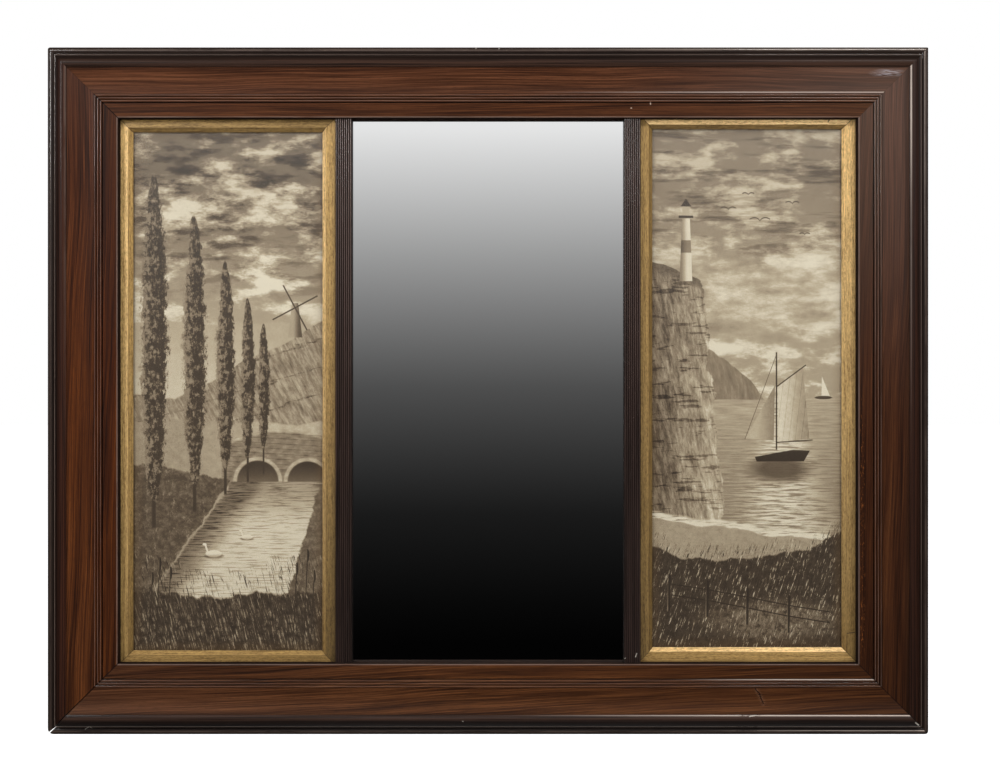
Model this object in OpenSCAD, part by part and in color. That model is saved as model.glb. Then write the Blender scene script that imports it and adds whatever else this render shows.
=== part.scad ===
// Overmantel mirror: a plain mirror plate between two glazed prints in gilt slips, all held in
// one built-up frame. Four planted strips make each side: a pine carcass at the back, then an
// ebonised edge moulding, a veneered hollow and a reeded sight moulding on its front.
// X runs along the mantel shelf, Z is up, and the back of the carcass lies on the plane Y = 0,
// against the wall. The origin is at the middle of the bottom edge. Profiles are drawn with u
// going in from the frame's outer edge and h going forward from the wall.

/* [Frame] */
// Width of the whole frame
frame_w = 1050; // [800:1:1400]
// Height of the whole frame
frame_h = 819; // [640:1:1100]
// Thickness of the pine carcass, which is the depth of the rebate
carcass_t = 17; // [15:0.5:24]
// Width of the rebate behind the sight edge
rebate_w = 10; // [8:0.5:14]
// Opening of the worn mitre at the bottom left corner, taken off each piece
mitre_open = 1.2; // [0:0.1:3]
// Radii that wear has put on the outer corners: top left, top right, bottom left, bottom right
corner_wear = [3, 1.5, 7.5, 4.5]; // [0.5:0.5:8]

/* [Edge moulding] */
// Width of the ebonised edge moulding
edge_w = 26; // [22:0.5:30]
// Height of its outer bead over the carcass
edge_bead_rise = 7.5; // [6:0.5:10]
// Width of the outer bead
edge_bead_w = 6.8; // [5:0.1:7.5]
// Radius of the outer bead, which is flatter than a half round
edge_bead_r = 5.4; // [4.5:0.1:8]
// Radius of the small bead beside it
fillet_bead_r = 1.6; // [1:0.1:2]
// Height of the small bead over the outer one
fillet_bead_step = 0.5; // [0:0.1:1]
// Width of the quirks between the beads and the ridge
quirk_w = 0.5; // [0.3:0.1:1]
// Depth of the quirks below the edge of the outer bead
quirk_depth = 0.6; // [0.3:0.1:1.5]
// Height of the ridge over the carcass
ridge_rise = 21; // [17:0.5:26]
// Radius of the ridge
ridge_r = 9.6; // [9:0.1:10.5]

/* [Hollow] */
// Width of the veneered hollow
hollow_w = 31; // [20:0.5:50]
// Height of the hollow over the carcass where it leaves the ridge
hollow_rise = 18.2; // [16:0.1:18.8]
// Height of the hollow over the carcass where it meets the reeds
hollow_foot = 13.6; // [12.5:0.1:15.5]
// Depth of the hollow below a straight slope
hollow_sag = 1.6; // [0.4:0.1:3]

/* [Sight moulding] */
// Number of reeds
sight_reeds = 3; // [2:1:5]
// Pitch of the reeds
sight_reed_pitch = 3.4; // [2.4:0.1:4.5]
// Height of the reeds over the carcass
sight_reed_rise = 15; // [14:0.1:17]
// Width of the quirk between the reeds and the flat band
sight_quirk_w = 0.8; // [0.4:0.1:1.5]
// Width of the flat band inside the reeds
band_w = 17; // [12:0.1:30]
// Height of the flat band over the carcass beside the reeds
band_rise = 13.6; // [12.6:0.1:14]
// Thickness of the lip at the sight edge
lip_t = 12; // [9:0.5:12.5]
// Radius of the rounded sight edge
arris_r = 1; // [0.5:0.1:2]

/* [Division bars] */
// Width of a reeded bar
bar_w = 19.6; // [16:0.2:30]
// Clear width of the mirror between the bars
mirror_sight_w = 324.6; // [240:0.2:460]
// Number of reeds on a bar
bar_reeds = 8; // [4:1:12]
// Height of the bar over the glass it holds
bar_rise = 8; // [5:0.5:11]
// Thickness of the spine that stands between the panels
spine_w = 8; // [7.5:0.5:11]
// Length of the stub tenon at each end
tenon_l = 14; // [8:1:20]
// Thickness of the tenon
tenon_t = 8; // [6:0.5:10]

/* [Gilt slips] */
// Width of a slip
slip_w = 20; // [18.5:0.1:22]
// Thickness of a slip
slip_t = 6; // [4:0.5:7]
// Width of the bevel along its inner edge
slip_bevel_w = 4.6; // [2:0.1:7]
// Thickness left at the inner edge
slip_edge_t = 1.3; // [0.8:0.1:3]
// Room round a slip in its rebate
slip_room = 3.2; // [3.1:0.1:4]
// Sideways and upward shift of the left slips in that room
left_slip_shift = [0.4, -0.8]; // [-3:0.1:3]
// Sideways and upward shift of the right slips in that room
right_slip_shift = [-2.1, 3]; // [-3:0.1:3]

/* [Glass, prints and boards] */
// Thickness of the mirror plate
plate_t = 5; // [3:0.5:6]
// Thickness of the glass over a print
glass_t = 2; // [1.5:0.5:3]
// Air between a glass and its print
print_air = 0.1; // [0:0.1:0.3]
// Thickness of a printed sheet
print_t = 0.3; // [0.2:0.1:0.5]
// Thickness of the card behind a print
card_t = 1.2; // [0.8:0.1:2]
// Thickness of the boards behind the mirror
mirror_board_t = 6; // [5:0.5:7]
// Distance of the boards inside the back of the carcass
back_recess = 2.5; // [2.4:0.1:3]
// Room round glass and boards in their rebates
pane_room = 1.5; // [0.5:0.1:2.5]
// Chamfer round the back of a board
board_chamfer = 1.5; // [0.5:0.1:2]
// Length of a block that wedges the mirror
block_l = 36; // [20:1:60]
// Width of that block
block_w = 6; // [4:0.5:8]

/* [Brads and keys] */
// Radius of a brad
brad_r = 0.7; // [0.5:0.1:0.8]
// Radius of its head
brad_head_r = 1.1; // [0.9:0.1:1.1]
// Length of a brad in the wood
brad_grip = 6.5; // [4:0.5:7]
// Length of a brad over the board
brad_reach = 9.5; // [7:0.5:14]
// Upward shift of the brads round the mirror, so that those on the two sides of a spine miss
brad_stagger = 12; // [4:1:20]
// Length of a butterfly key across a mitre
key_l = 44; // [30:1:60]
// Width of a key at its ends
key_end_w = 16; // [12:1:22]
// Width of a key at its waist
key_waist_w = 9; // [6:0.5:11]
// Thickness of a key
key_t = 6; // [4:0.5:9]

/* [Hangers] */
// Height of the ring pivots below the top of the frame
hanger_drop = 196; // [140:1:260]
// Width of a hanger plate
hanger_w = 56; // [50:1:64]
// Height of a hanger plate
hanger_h = 14; // [11:0.5:16]
// Thickness of a hanger plate and of the knuckle rolled from it
hanger_t = 1.2; // [1:0.1:1.6]
// Length of the knuckle that holds the ring
knuckle_l = 17; // [10:0.5:18]
// Diameter of the ring's wire
ring_wire_d = 3.2; // [2.6:0.1:3.6]
// Width of the ring between the middles of its legs
ring_w = 26; // [25:0.5:30]
// Drop of the ring from its pivot to the middle of its bow
ring_drop = 32; // [30:0.5:40]
// Length of a hanger screw in the wood
screw_l = 13; // [8:0.5:14]
// Diameter of its shank
screw_d = 3.8; // [3:0.1:4]
// Diameter of its head
screw_head_d = 7.2; // [6.6:0.1:8]

/* [Hidden] */

$fn = 96;
slack = 0.1;        // clearance of a pocket or hole round the piece in it
run_clear = 0.08;   // clearance of the ring's bar in its knuckle
seat_gap = 0.3;     // clearance of the ring's legs over the plate
cut_over = 1;       // how far a cutting shape runs past the face it cuts

reeds_u = edge_w + hollow_w;
band_u = reeds_u + sight_reeds * sight_reed_pitch + sight_quirk_w;
moulding_w = band_u + band_w;
carcass_w = moulding_w - rebate_w;
profile_top = carcass_t + ridge_rise + cut_over;
reed_round = 0.56;  // radius of a reed as a share of its pitch

bar_x = mirror_sight_w / 2 + bar_w / 2;
rebate_z = [carcass_w, frame_h - carcass_w];
panel_out_x = frame_w / 2 - carcass_w;
// Sides of the three rebated openings, from left to right
opening_x = [
    [-panel_out_x, -bar_x - spine_w / 2],
    [-bar_x + spine_w / 2, bar_x - spine_w / 2],
    [bar_x + spine_w / 2, panel_out_x]
];

glass_front = carcass_t - slip_t;
glass_back = glass_front - glass_t;
print_front = glass_back - print_air;
card_front = print_front - print_t;
side_board_front = card_front - card_t;
side_board_t = side_board_front - back_recess;
block_front = carcass_t - plate_t;
mirror_board_front = back_recess + mirror_board_t;
block_t = block_front - mirror_board_front;
board_joint = 0.5;

brad_h = back_recess - brad_head_r - slack;
brad_head_l = 0.7;
brad_counts = [4, 2];    // brads along an upright and along a level wall of an opening
block_counts = [3, 2];   // wedge blocks along the same walls

wire_r = ring_wire_d / 2;
pivot_y = wire_r + run_clear + hanger_t;
pivot_z = frame_h - hanger_drop;
hanger_x = frame_w / 2 - carcass_w / 2;
neck_l = 2.1;
plate_drop = pivot_y + neck_l;
elbow_r = 3;
ring_tilt = asin((seat_gap - run_clear) / plate_drop);
screw_x = hanger_w / 2 - hanger_h / 2;
screw_z = -plate_drop - hanger_h / 2;
screw_head_h = 2.2;
slot_w = 0.9;
slot_depth = 1;

rosewood = [0.30, 0.17, 0.11];
ebonised = [0.12, 0.09, 0.08];
pine = [0.72, 0.56, 0.36];
gilt = [0.78, 0.61, 0.30];
silvered = [0.80, 0.82, 0.84];
clear_glass = [0.85, 0.92, 0.90, 0.35];
printed = [0.62, 0.56, 0.46];
pasteboard = [0.70, 0.62, 0.48];
brass = [0.72, 0.56, 0.26];
iron = [0.35, 0.33, 0.31];

// Even places along a length, half a pitch in from each end
function places(from, to, count) =
    [for (i = [0 : count - 1]) from + (to - from) * (i + 0.5) / count];

// ---- Profiles: u from the outer edge, h from the wall ----

module carcass_profile() {
    square([carcass_w, carcass_t]);
}

// A round of radius r on straight sides, standing on the carcass
module rounded_strip(u, crest, r) {
    translate([u, crest - r]) circle(r = r);
    translate([u - r, carcass_t]) square([2 * r, crest - r - carcass_t]);
}

// Reeds side by side from u on, each a little less than half round
module reed_run(u, count, pitch, crest) {
    r = pitch * reed_round;
    translate([u, carcass_t]) square([count * pitch, crest - r - carcass_t]);
    intersection() {
        translate([u, carcass_t]) square([count * pitch, crest + pitch - carcass_t]);
        for (i = [0 : count - 1])
            translate([u + pitch * (i + 0.5), crest - r]) circle(r = r);
    }
}

module edge_profile() {
    bead_top = carcass_t + edge_bead_rise;
    bead_edge_rise = edge_bead_rise - edge_bead_r + sqrt(pow(edge_bead_r, 2) - pow(edge_bead_w / 2, 2));
    fillet_u = edge_bead_w + quirk_w + fillet_bead_r;
    ridge_u = fillet_u + fillet_bead_r + quirk_w + ridge_r;
    translate([0, carcass_t]) square([edge_w, bead_edge_rise - quirk_depth]);
    intersection() {
        translate([0, carcass_t]) square([edge_bead_w, edge_bead_rise]);
        union() {
            translate([edge_bead_w / 2, bead_top - edge_bead_r]) circle(r = edge_bead_r);
            translate([0, carcass_t]) square([edge_bead_w, bead_edge_rise]);
        }
    }
    rounded_strip(fillet_u, bead_top + fillet_bead_step, fillet_bead_r);
    intersection() {
        rounded_strip(ridge_u, carcass_t + ridge_rise, ridge_r);
        square([edge_w, profile_top]);
    }
}

module hollow_profile() {
    top = [edge_w, carcass_t + hollow_rise];
    foot = [reeds_u, carcass_t + hollow_foot];
    half_chord = norm(foot - top) / 2;
    scoop_r = (half_chord * half_chord + hollow_sag * hollow_sag) / (2 * hollow_sag);
    out = [top.y - foot.y, foot.x - top.x] / (2 * half_chord);
    difference() {
        polygon([[edge_w, carcass_t], top, foot, [reeds_u, carcass_t]]);
        translate((top + foot) / 2 + out * (scoop_r - hollow_sag)) circle(r = scoop_r, $fn = 720);
    }
}

module sight_profile() {
    lip_h = carcass_t + lip_t;
    quirk_h = carcass_t + sight_reed_rise - sight_reed_pitch;
    translate([reeds_u, carcass_t]) square([band_u - reeds_u, quirk_h - carcass_t]);
    reed_run(reeds_u, sight_reeds, sight_reed_pitch, carcass_t + sight_reed_rise);
    polygon([
        [band_u, carcass_t], [band_u, carcass_t + band_rise], [moulding_w - arris_r, lip_h],
        [moulding_w - arris_r, lip_h - arris_r], [moulding_w, lip_h - arris_r], [moulding_w, carcass_t]
    ]);
    translate([moulding_w - arris_r, lip_h - arris_r]) circle(r = arris_r);
}

module slip_profile() {
    polygon([
        [0, glass_front], [0, carcass_t], [slip_w - slip_bevel_w, carcass_t],
        [slip_w, glass_front + slip_edge_t], [slip_w, glass_front]
    ]);
}

// ---- Mitred members ----

// The bottom side of a frame with mitred ends, its outer edge on Z = 0. trim shortens the outer
// corner at the left and right ends, which opens the mitre there.
module bottom_side(length, width, trim = [0, 0]) {
    intersection() {
        rotate([180, -90, 0])
            linear_extrude(height = length, center = true) children();
        rotate([90, 0, 0])
            linear_extrude(height = profile_top)
                polygon([
                    [-length / 2 + trim[0], 0], [length / 2 - trim[1], 0],
                    [length / 2 - width, width], [-length / 2 + width, width]
                ]);
    }
}

// One side of a mitred frame of outer size w by h, centred on X = 0 and standing on Z = 0
module frame_side(side, w, h, width, trim = 0) {
    if (side == "bottom")
        bottom_side(w, width, [trim, 0]) children();
    if (side == "top")
        translate([0, 0, h]) rotate([0, 180, 0]) bottom_side(w, width) children();
    if (side == "left")
        translate([-w / 2, 0, h / 2]) rotate([0, 90, 0]) bottom_side(h, width, [0, trim]) children();
    if (side == "right")
        translate([w / 2, 0, h / 2]) rotate([0, -90, 0]) bottom_side(h, width) children();
}

// What wear has taken off one outer corner of the frame
module worn_corner(across, up, radius) {
    translate([across * frame_w / 2, 0, frame_h / 2 + up * frame_h / 2])
        rotate([90, 0, 0])
            linear_extrude(height = profile_top)
                difference() {
                    square(2 * radius, center = true);
                    translate([-across * radius, -up * radius]) circle(r = radius);
                }
}

module main_side(side) {
    difference() {
        frame_side(side, frame_w, frame_h, moulding_w, mitre_open) children();
        for (across = [-1, 1], up = [-1, 1])
            worn_corner(across, up, corner_wear[(across > 0 ? 1 : 0) + (up > 0 ? 0 : 2)]);
    }
}

// ---- Brads, which lie over the boards and run into the wall of the rebate ----

// A brad driven along -X into a wall at X = 0
module brad() {
    rotate([0, 90, 0]) {
        translate([0, 0, -brad_grip]) cylinder(h = brad_grip + brad_reach, r = brad_r, $fn = 16);
        translate([0, 0, brad_reach]) cylinder(h = brad_head_l, r = brad_head_r, $fn = 16);
    }
}

module brad_hole() {
    translate([-brad_grip - slack, 0, 0])
        rotate([0, 90, 0]) cylinder(h = brad_grip + slack + cut_over, r = brad_r + slack / 2, $fn = 16);
}

// Puts its children at each brad on one wall of an opening
module at_brads(opening, wall) {
    stagger = opening == 1 ? brad_stagger : 0;
    x = opening_x[opening];
    if (wall == "left" || wall == "right")
        for (z = places(rebate_z[0], rebate_z[1], brad_counts[0]))
            translate([wall == "left" ? x[0] : x[1], -brad_h, z + stagger])
                rotate([0, wall == "left" ? 0 : 180, 0]) children();
    else
        for (across = places(x[0], x[1], brad_counts[1]))
            translate([across, -brad_h, wall == "bottom" ? rebate_z[0] : rebate_z[1]])
                rotate([0, wall == "bottom" ? -90 : 90, 0]) children();
}

module brads(opening) {
    color(iron)
        for (wall = ["left", "right", "bottom", "top"])
            at_brads(opening, wall) brad();
}

// ---- Butterfly keys across the mitres at the back ----

module butterfly(grow = 0) {
    half = key_l / 2 + grow;
    end = key_end_w / 2 + grow;
    waist = key_waist_w / 2 + grow;
    rotate([90, 0, 0])
        translate([0, 0, grow > 0 ? -cut_over : 0])
            linear_extrude(height = key_t + grow + (grow > 0 ? cut_over : 0))
                polygon([[-half, -end], [0, -waist], [half, -end], [half, end], [0, waist], [-half, end]]);
}

// across: -1 left, 1 right; up: -1 bottom, 1 top
module at_key(across, up) {
    translate([across * (frame_w / 2 - carcass_w / 2), 0, frame_h / 2 + up * (frame_h / 2 - carcass_w / 2)])
        rotate([0, 45 * across * up, 0]) children();
}

module mitre_key(across, up) {
    color(pine) at_key(across, up) butterfly();
}

// ---- Frame members ----

module mortises(up) {
    edge_z = up > 0 ? rebate_z[1] : rebate_z[0];
    for (x = [-bar_x, bar_x])
        translate([x, -carcass_t / 2, edge_z + up * (tenon_l + slack - cut_over) / 2])
            cube([spine_w + 2 * slack, tenon_t + 2 * slack, tenon_l + slack + cut_over], center = true);
}

module carcass_rail(side) {
    up = side == "top" ? 1 : -1;
    color(pine)
        difference() {
            main_side(side) carcass_profile();
            mortises(up);
            for (opening = [0 : 2])
                at_brads(opening, side) brad_hole();
            for (across = [-1, 1])
                at_key(across, up) butterfly(slack);
        }
}

module carcass_stile(side) {
    across = side == "right" ? 1 : -1;
    color(pine)
        difference() {
            main_side(side) carcass_profile();
            at_brads(across > 0 ? 2 : 0, side) brad_hole();
            for (up = [-1, 1])
                at_key(across, up) butterfly(slack);
            at_hanger(across) at_screws() screw_hole();
        }
}

module edge_moulding(side) {
    color(ebonised) main_side(side) edge_profile();
}

module hollow_moulding(side) {
    color(rosewood) main_side(side) hollow_profile();
}

module sight_moulding(side) {
    color(rosewood) main_side(side) sight_profile();
}

// ---- Division bars ----

module division_bar(across) {
    color(ebonised)
        difference() {
            translate([across * bar_x, 0, 0])
                union() {
                    translate([0, 0, moulding_w])
                        mirror([0, 1, 0])
                            linear_extrude(height = frame_h - 2 * moulding_w)
                                reed_run(-bar_w / 2, bar_reeds, bar_w / bar_reeds, carcass_t + bar_rise);
                    translate([-spine_w / 2, -carcass_t, rebate_z[0]])
                        cube([spine_w, carcass_t, rebate_z[1] - rebate_z[0]]);
                    translate([-spine_w / 2, -(carcass_t + tenon_t) / 2, rebate_z[0] - tenon_l])
                        cube([spine_w, tenon_t, rebate_z[1] - rebate_z[0] + 2 * tenon_l]);
                }
            at_brads(across > 0 ? 1 : 0, "right") brad_hole();
            at_brads(across > 0 ? 2 : 1, "left") brad_hole();
        }
}

// ---- Mirror ----

// A sheet that fills an opening but for some room, between two distances from the wall
module sheet(opening, back, front, room = pane_room) {
    x = opening_x[opening];
    translate([x[0] + room, -front, rebate_z[0] + room])
        cube([x[1] - x[0] - 2 * room, front - back, rebate_z[1] - rebate_z[0] - 2 * room]);
}

module mirror_plate() {
    color(silvered) sheet(1, block_front, carcass_t);
}

module mirror_wedge_blocks() {
    x = opening_x[1];
    long_block = [block_w, block_t, block_l];
    short_block = [block_l, block_t, block_w];
    color(pine) {
        for (z = places(rebate_z[0], rebate_z[1], block_counts[0]), left = [x[0], x[1] - block_w])
            translate([left, -block_front, z - block_l / 2]) cube(long_block);
        for (across = places(x[0], x[1], block_counts[1]), low = [rebate_z[0], rebate_z[1] - block_w])
            translate([across - block_l / 2, -block_front, low]) cube(short_block);
    }
}

// A board with a chamfer round its back face
module board(width, height, thickness) {
    intersection() {
        cube([width, thickness, height]);
        rotate([90, 0, 90])
            linear_extrude(height = width)
                polygon([[0, 0], [thickness, board_chamfer], [thickness, height - board_chamfer], [0, height]]);
        linear_extrude(height = height)
            polygon([[0, 0], [board_chamfer, thickness], [width - board_chamfer, thickness], [width, 0]]);
    }
}

module mirror_board(across) {
    x = opening_x[1];
    width = (x[1] - x[0] - 2 * pane_room - board_joint) / 2;
    height = rebate_z[1] - rebate_z[0] - 2 * pane_room;
    left = across > 0 ? board_joint / 2 : -board_joint / 2 - width;
    color(pine)
        translate([left, -mirror_board_front, rebate_z[0] + pane_room])
            board(width, height, mirror_board_t);
}

// ---- Side panels: gilt slips, glass, print, card and board ----

module slip(opening, side) {
    x = opening_x[opening];
    w = x[1] - x[0] - 2 * slip_room;
    h = rebate_z[1] - rebate_z[0] - 2 * slip_room;
    shift = opening == 0 ? left_slip_shift : right_slip_shift;
    color(gilt)
        translate([(x[0] + x[1]) / 2 + shift[0], 0, rebate_z[0] + slip_room + shift[1]])
            frame_side(side, w, h, slip_w) slip_profile();
}

module glass(opening) {
    color(clear_glass) sheet(opening, glass_back, glass_front);
}

module print_sheet(opening) {
    color(printed) sheet(opening, card_front, print_front);
}

module card(opening) {
    color(pasteboard) sheet(opening, side_board_front, card_front);
}

module backboard(opening) {
    x = opening_x[opening];
    color(pine)
        translate([x[0] + pane_room, -side_board_front, rebate_z[0] + pane_room])
            board(x[1] - x[0] - 2 * pane_room, rebate_z[1] - rebate_z[0] - 2 * pane_room, side_board_t);
}

// ---- Hangers: a plate on each stile with a drop ring in its knuckle ----

module at_hanger(across) {
    translate([across * hanger_x, 0, pivot_z]) children();
}

module at_screws() {
    for (x = [-screw_x, screw_x])
        translate([x, 0, screw_z]) rotate([90, 0, 0]) children();
}

module screw_hole() {
    translate([0, 0, -cut_over])
        cylinder(h = screw_l + slack + cut_over, d = screw_d + slack);
}

module hanger_plate(across) {
    color(brass)
        at_hanger(across)
            difference() {
                union() {
                    // The plate, with half round ends
                    rotate([-90, 0, 0])
                        linear_extrude(height = hanger_t) {
                            translate([-screw_x, plate_drop]) square([2 * screw_x, hanger_h]);
                            for (x = [-screw_x, screw_x])
                                translate([x, -screw_z]) circle(d = hanger_h);
                        }
                    // The tongue that rolls up into the knuckle
                    translate([-knuckle_l / 2, 0, -plate_drop - hanger_t])
                        cube([knuckle_l, hanger_t, plate_drop + hanger_t]);
                    translate([-knuckle_l / 2, pivot_y, 0])
                        rotate([0, 90, 0]) cylinder(h = knuckle_l, r = pivot_y);
                }
                translate([-knuckle_l / 2 - cut_over, pivot_y, 0])
                    rotate([0, 90, 0]) cylinder(h = knuckle_l + 2 * cut_over, r = wire_r + run_clear);
                at_screws()
                    translate([0, 0, -hanger_t - cut_over])
                        cylinder(h = hanger_t + 2 * cut_over, d = screw_d + 2 * slack);
            }
}

// Part of a ring of wire in the XZ plane, from one angle to another
module wire_bend(radius, from, angle) {
    rotate([90, 0, 0])
        rotate([0, 0, from])
            rotate_extrude(angle = angle)
                translate([radius, 0]) circle(r = wire_r, $fn = 32);
}

module hanger_ring(across) {
    leg_x = ring_w / 2;
    bow_z = -ring_drop + leg_x;
    color(brass)
        at_hanger(across)
            translate([0, pivot_y, 0])
                rotate([ring_tilt, 0, 0]) {
                    translate([-leg_x + elbow_r, 0, 0])
                        rotate([0, 90, 0]) cylinder(h = ring_w - 2 * elbow_r, r = wire_r, $fn = 32);
                    for (x = [-leg_x, leg_x])
                        translate([x, 0, bow_z]) cylinder(h = -bow_z - elbow_r, r = wire_r, $fn = 32);
                    translate([leg_x - elbow_r, 0, -elbow_r]) wire_bend(elbow_r, 0, 90);
                    translate([-leg_x + elbow_r, 0, -elbow_r]) wire_bend(elbow_r, 90, 90);
                    translate([0, 0, bow_z]) wire_bend(leg_x, 180, 180);
                }
}

module hanger_screws(across) {
    dome_r = (pow(screw_head_d / 2, 2) + pow(screw_head_h, 2)) / (2 * screw_head_h);
    color(brass)
        at_hanger(across)
            at_screws() {
                translate([0, 0, -hanger_t]) cylinder(h = screw_l + hanger_t, d = screw_d);
                difference() {
                    intersection() {
                        translate([0, 0, -hanger_t - screw_head_h]) cylinder(h = screw_head_h, d = screw_head_d);
                        translate([0, 0, -hanger_t - screw_head_h + dome_r]) sphere(r = dome_r);
                    }
                    translate([-screw_head_d, -slot_w / 2, -hanger_t - screw_head_h - cut_over])
                        cube([2 * screw_head_d, slot_w, slot_depth + cut_over]);
                }
            }
}

carcass_rail("top");  // carcass_top_rail
carcass_rail("bottom");  // carcass_bottom_rail
carcass_stile("left");  // carcass_left_stile
carcass_stile("right");  // carcass_right_stile
for (side = ["top", "bottom", "left", "right"]) {
    edge_moulding(side);
    hollow_moulding(side);
    sight_moulding(side);
}
division_bar(-1);  // left_division_bar
division_bar(1);  // right_division_bar
mirror_plate();
mirror_wedge_blocks();
mirror_board(-1);  // mirror_board_left
mirror_board(1);  // mirror_board_right
brads(1);  // mirror_brads
for (panel = [["left", 0, "left", "right"], ["right", 2, "right", "left"]]) {
    name = panel[0];
    opening = panel[1];
    slip(opening, "top");
    slip(opening, "bottom");
    slip(opening, panel[2]);
    slip(opening, panel[3]);
    glass(opening);
    print_sheet(opening);
    card(opening);
    backboard(opening);
    brads(opening);
}
mitre_key(-1, 1);  // mitre_key_top_left
mitre_key(1, 1);  // mitre_key_top_right
mitre_key(-1, -1);  // mitre_key_bottom_left
mitre_key(1, -1);  // mitre_key_bottom_right
for (hanger = [["left", -1], ["right", 1]]) {
    hanger_plate(hanger[1]);
    hanger_ring(hanger[1]);
    hanger_screws(hanger[1]);
}
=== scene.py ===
import math

import bpy
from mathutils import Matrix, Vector


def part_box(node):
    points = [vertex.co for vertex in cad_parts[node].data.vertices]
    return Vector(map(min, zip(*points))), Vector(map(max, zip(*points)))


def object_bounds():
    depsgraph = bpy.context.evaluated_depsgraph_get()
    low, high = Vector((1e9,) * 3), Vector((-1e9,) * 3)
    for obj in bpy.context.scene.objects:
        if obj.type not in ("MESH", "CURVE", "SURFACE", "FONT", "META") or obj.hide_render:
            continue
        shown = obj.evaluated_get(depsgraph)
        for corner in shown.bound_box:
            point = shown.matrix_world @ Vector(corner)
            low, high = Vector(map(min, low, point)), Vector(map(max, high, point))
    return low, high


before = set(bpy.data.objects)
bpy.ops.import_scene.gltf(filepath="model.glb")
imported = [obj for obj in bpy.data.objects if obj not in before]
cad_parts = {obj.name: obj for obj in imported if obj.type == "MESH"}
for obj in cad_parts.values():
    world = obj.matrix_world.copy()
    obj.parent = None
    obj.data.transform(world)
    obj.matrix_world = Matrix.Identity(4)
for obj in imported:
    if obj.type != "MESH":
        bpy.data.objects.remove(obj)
solid_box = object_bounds()

# ----------------------------------------------------------------------
# The view. The mirror is seen square on, from a little above the middle of its height and a finger's
# width right of its centre line. Its box gives the frame's width and height to what follows.
eye = Vector((0.0143, -1.524, 0.414))
lens_mm = 45.30
frame_w = solid_box[1].x - solid_box[0].x
frame_h = solid_box[1].z - solid_box[0].z

lens = bpy.data.cameras.new("view")
lens.lens = lens_mm
lens.sensor_width = 36
lens.clip_start = 0.05
camera = bpy.data.objects.new("view", lens)
camera.location = eye
camera.rotation_euler = (math.radians(90), 0, 0)
bpy.context.scene.collection.objects.link(camera)
bpy.context.scene.camera = camera
bpy.context.scene.view_settings.view_transform = "Standard"

# ----------------------------------------------------------------------
# The carcass. Two rails and two stiles of pine, mitred and planed, which carry every moulding. Only the
# back and the outer edges of the pine are ever seen. Those edges were stained dark to go with the front,
# and a century of wall dust has darkened the rest.
side_length = {"top": frame_w, "bottom": frame_w, "left": frame_h, "right": frame_h}
# The year rings: their spacing, how far behind the face and how askew the pith ran, and their drift
ring_gap = 0.0042
pith_depth = 0.06
pith_lean = 0.05
grain_drift = 0.03


def seen(red, green, blue):
    """A colour as it is seen, from 0 to 255, in the linear numbers that a shader takes."""
    def linear(level):
        share = level / 255
        return share / 12.92 if share <= 0.04045 else ((share + 0.055) / 1.055) ** 2.4
    return (linear(red), linear(green), linear(blue), 1.0)


class Value:
    """One number of a finish, at each point of the surface. Sums made with it add Math nodes."""

    def __init__(self, finish, socket):
        self.finish = finish
        self.socket = socket

    def sum(self, operation, *terms):
        return self.finish.node("ShaderNodeMath", {"operation": operation}, dict(enumerate(terms)))

    def __add__(self, other):
        return self.sum("ADD", self, other)

    def __sub__(self, other):
        return self.sum("SUBTRACT", self, other)

    def __rsub__(self, other):
        return self.sum("SUBTRACT", other, self)

    def __mul__(self, other):
        return self.sum("MULTIPLY", self, other)

    def __truediv__(self, other):
        return self.sum("DIVIDE", self, other)

    def __pow__(self, other):
        return self.sum("POWER", self, other)

    def __abs__(self):
        return self.sum("ABSOLUTE", self)

    __radd__ = __add__
    __rmul__ = __mul__

    def least(self, other):
        return self.sum("MINIMUM", self, other)

    def most(self, other):
        return self.sum("MAXIMUM", self, other)

    def part(self):
        return self.sum("FRACT", self)

    def rise(self, start, end):
        """0 up to start and 1 past end, with a smooth rise between them."""
        return self.finish.node("ShaderNodeMapRange", {"interpolation_type": "SMOOTHSTEP"},
                                {"Value": self, "From Min": start, "From Max": end})

    def fall(self, start, end):
        return 1 - self.rise(start, end)

    def near(self, middle, reach):
        """1 at middle, and 0 from reach away on both sides."""
        return abs(self - middle).fall(0, reach)


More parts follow.
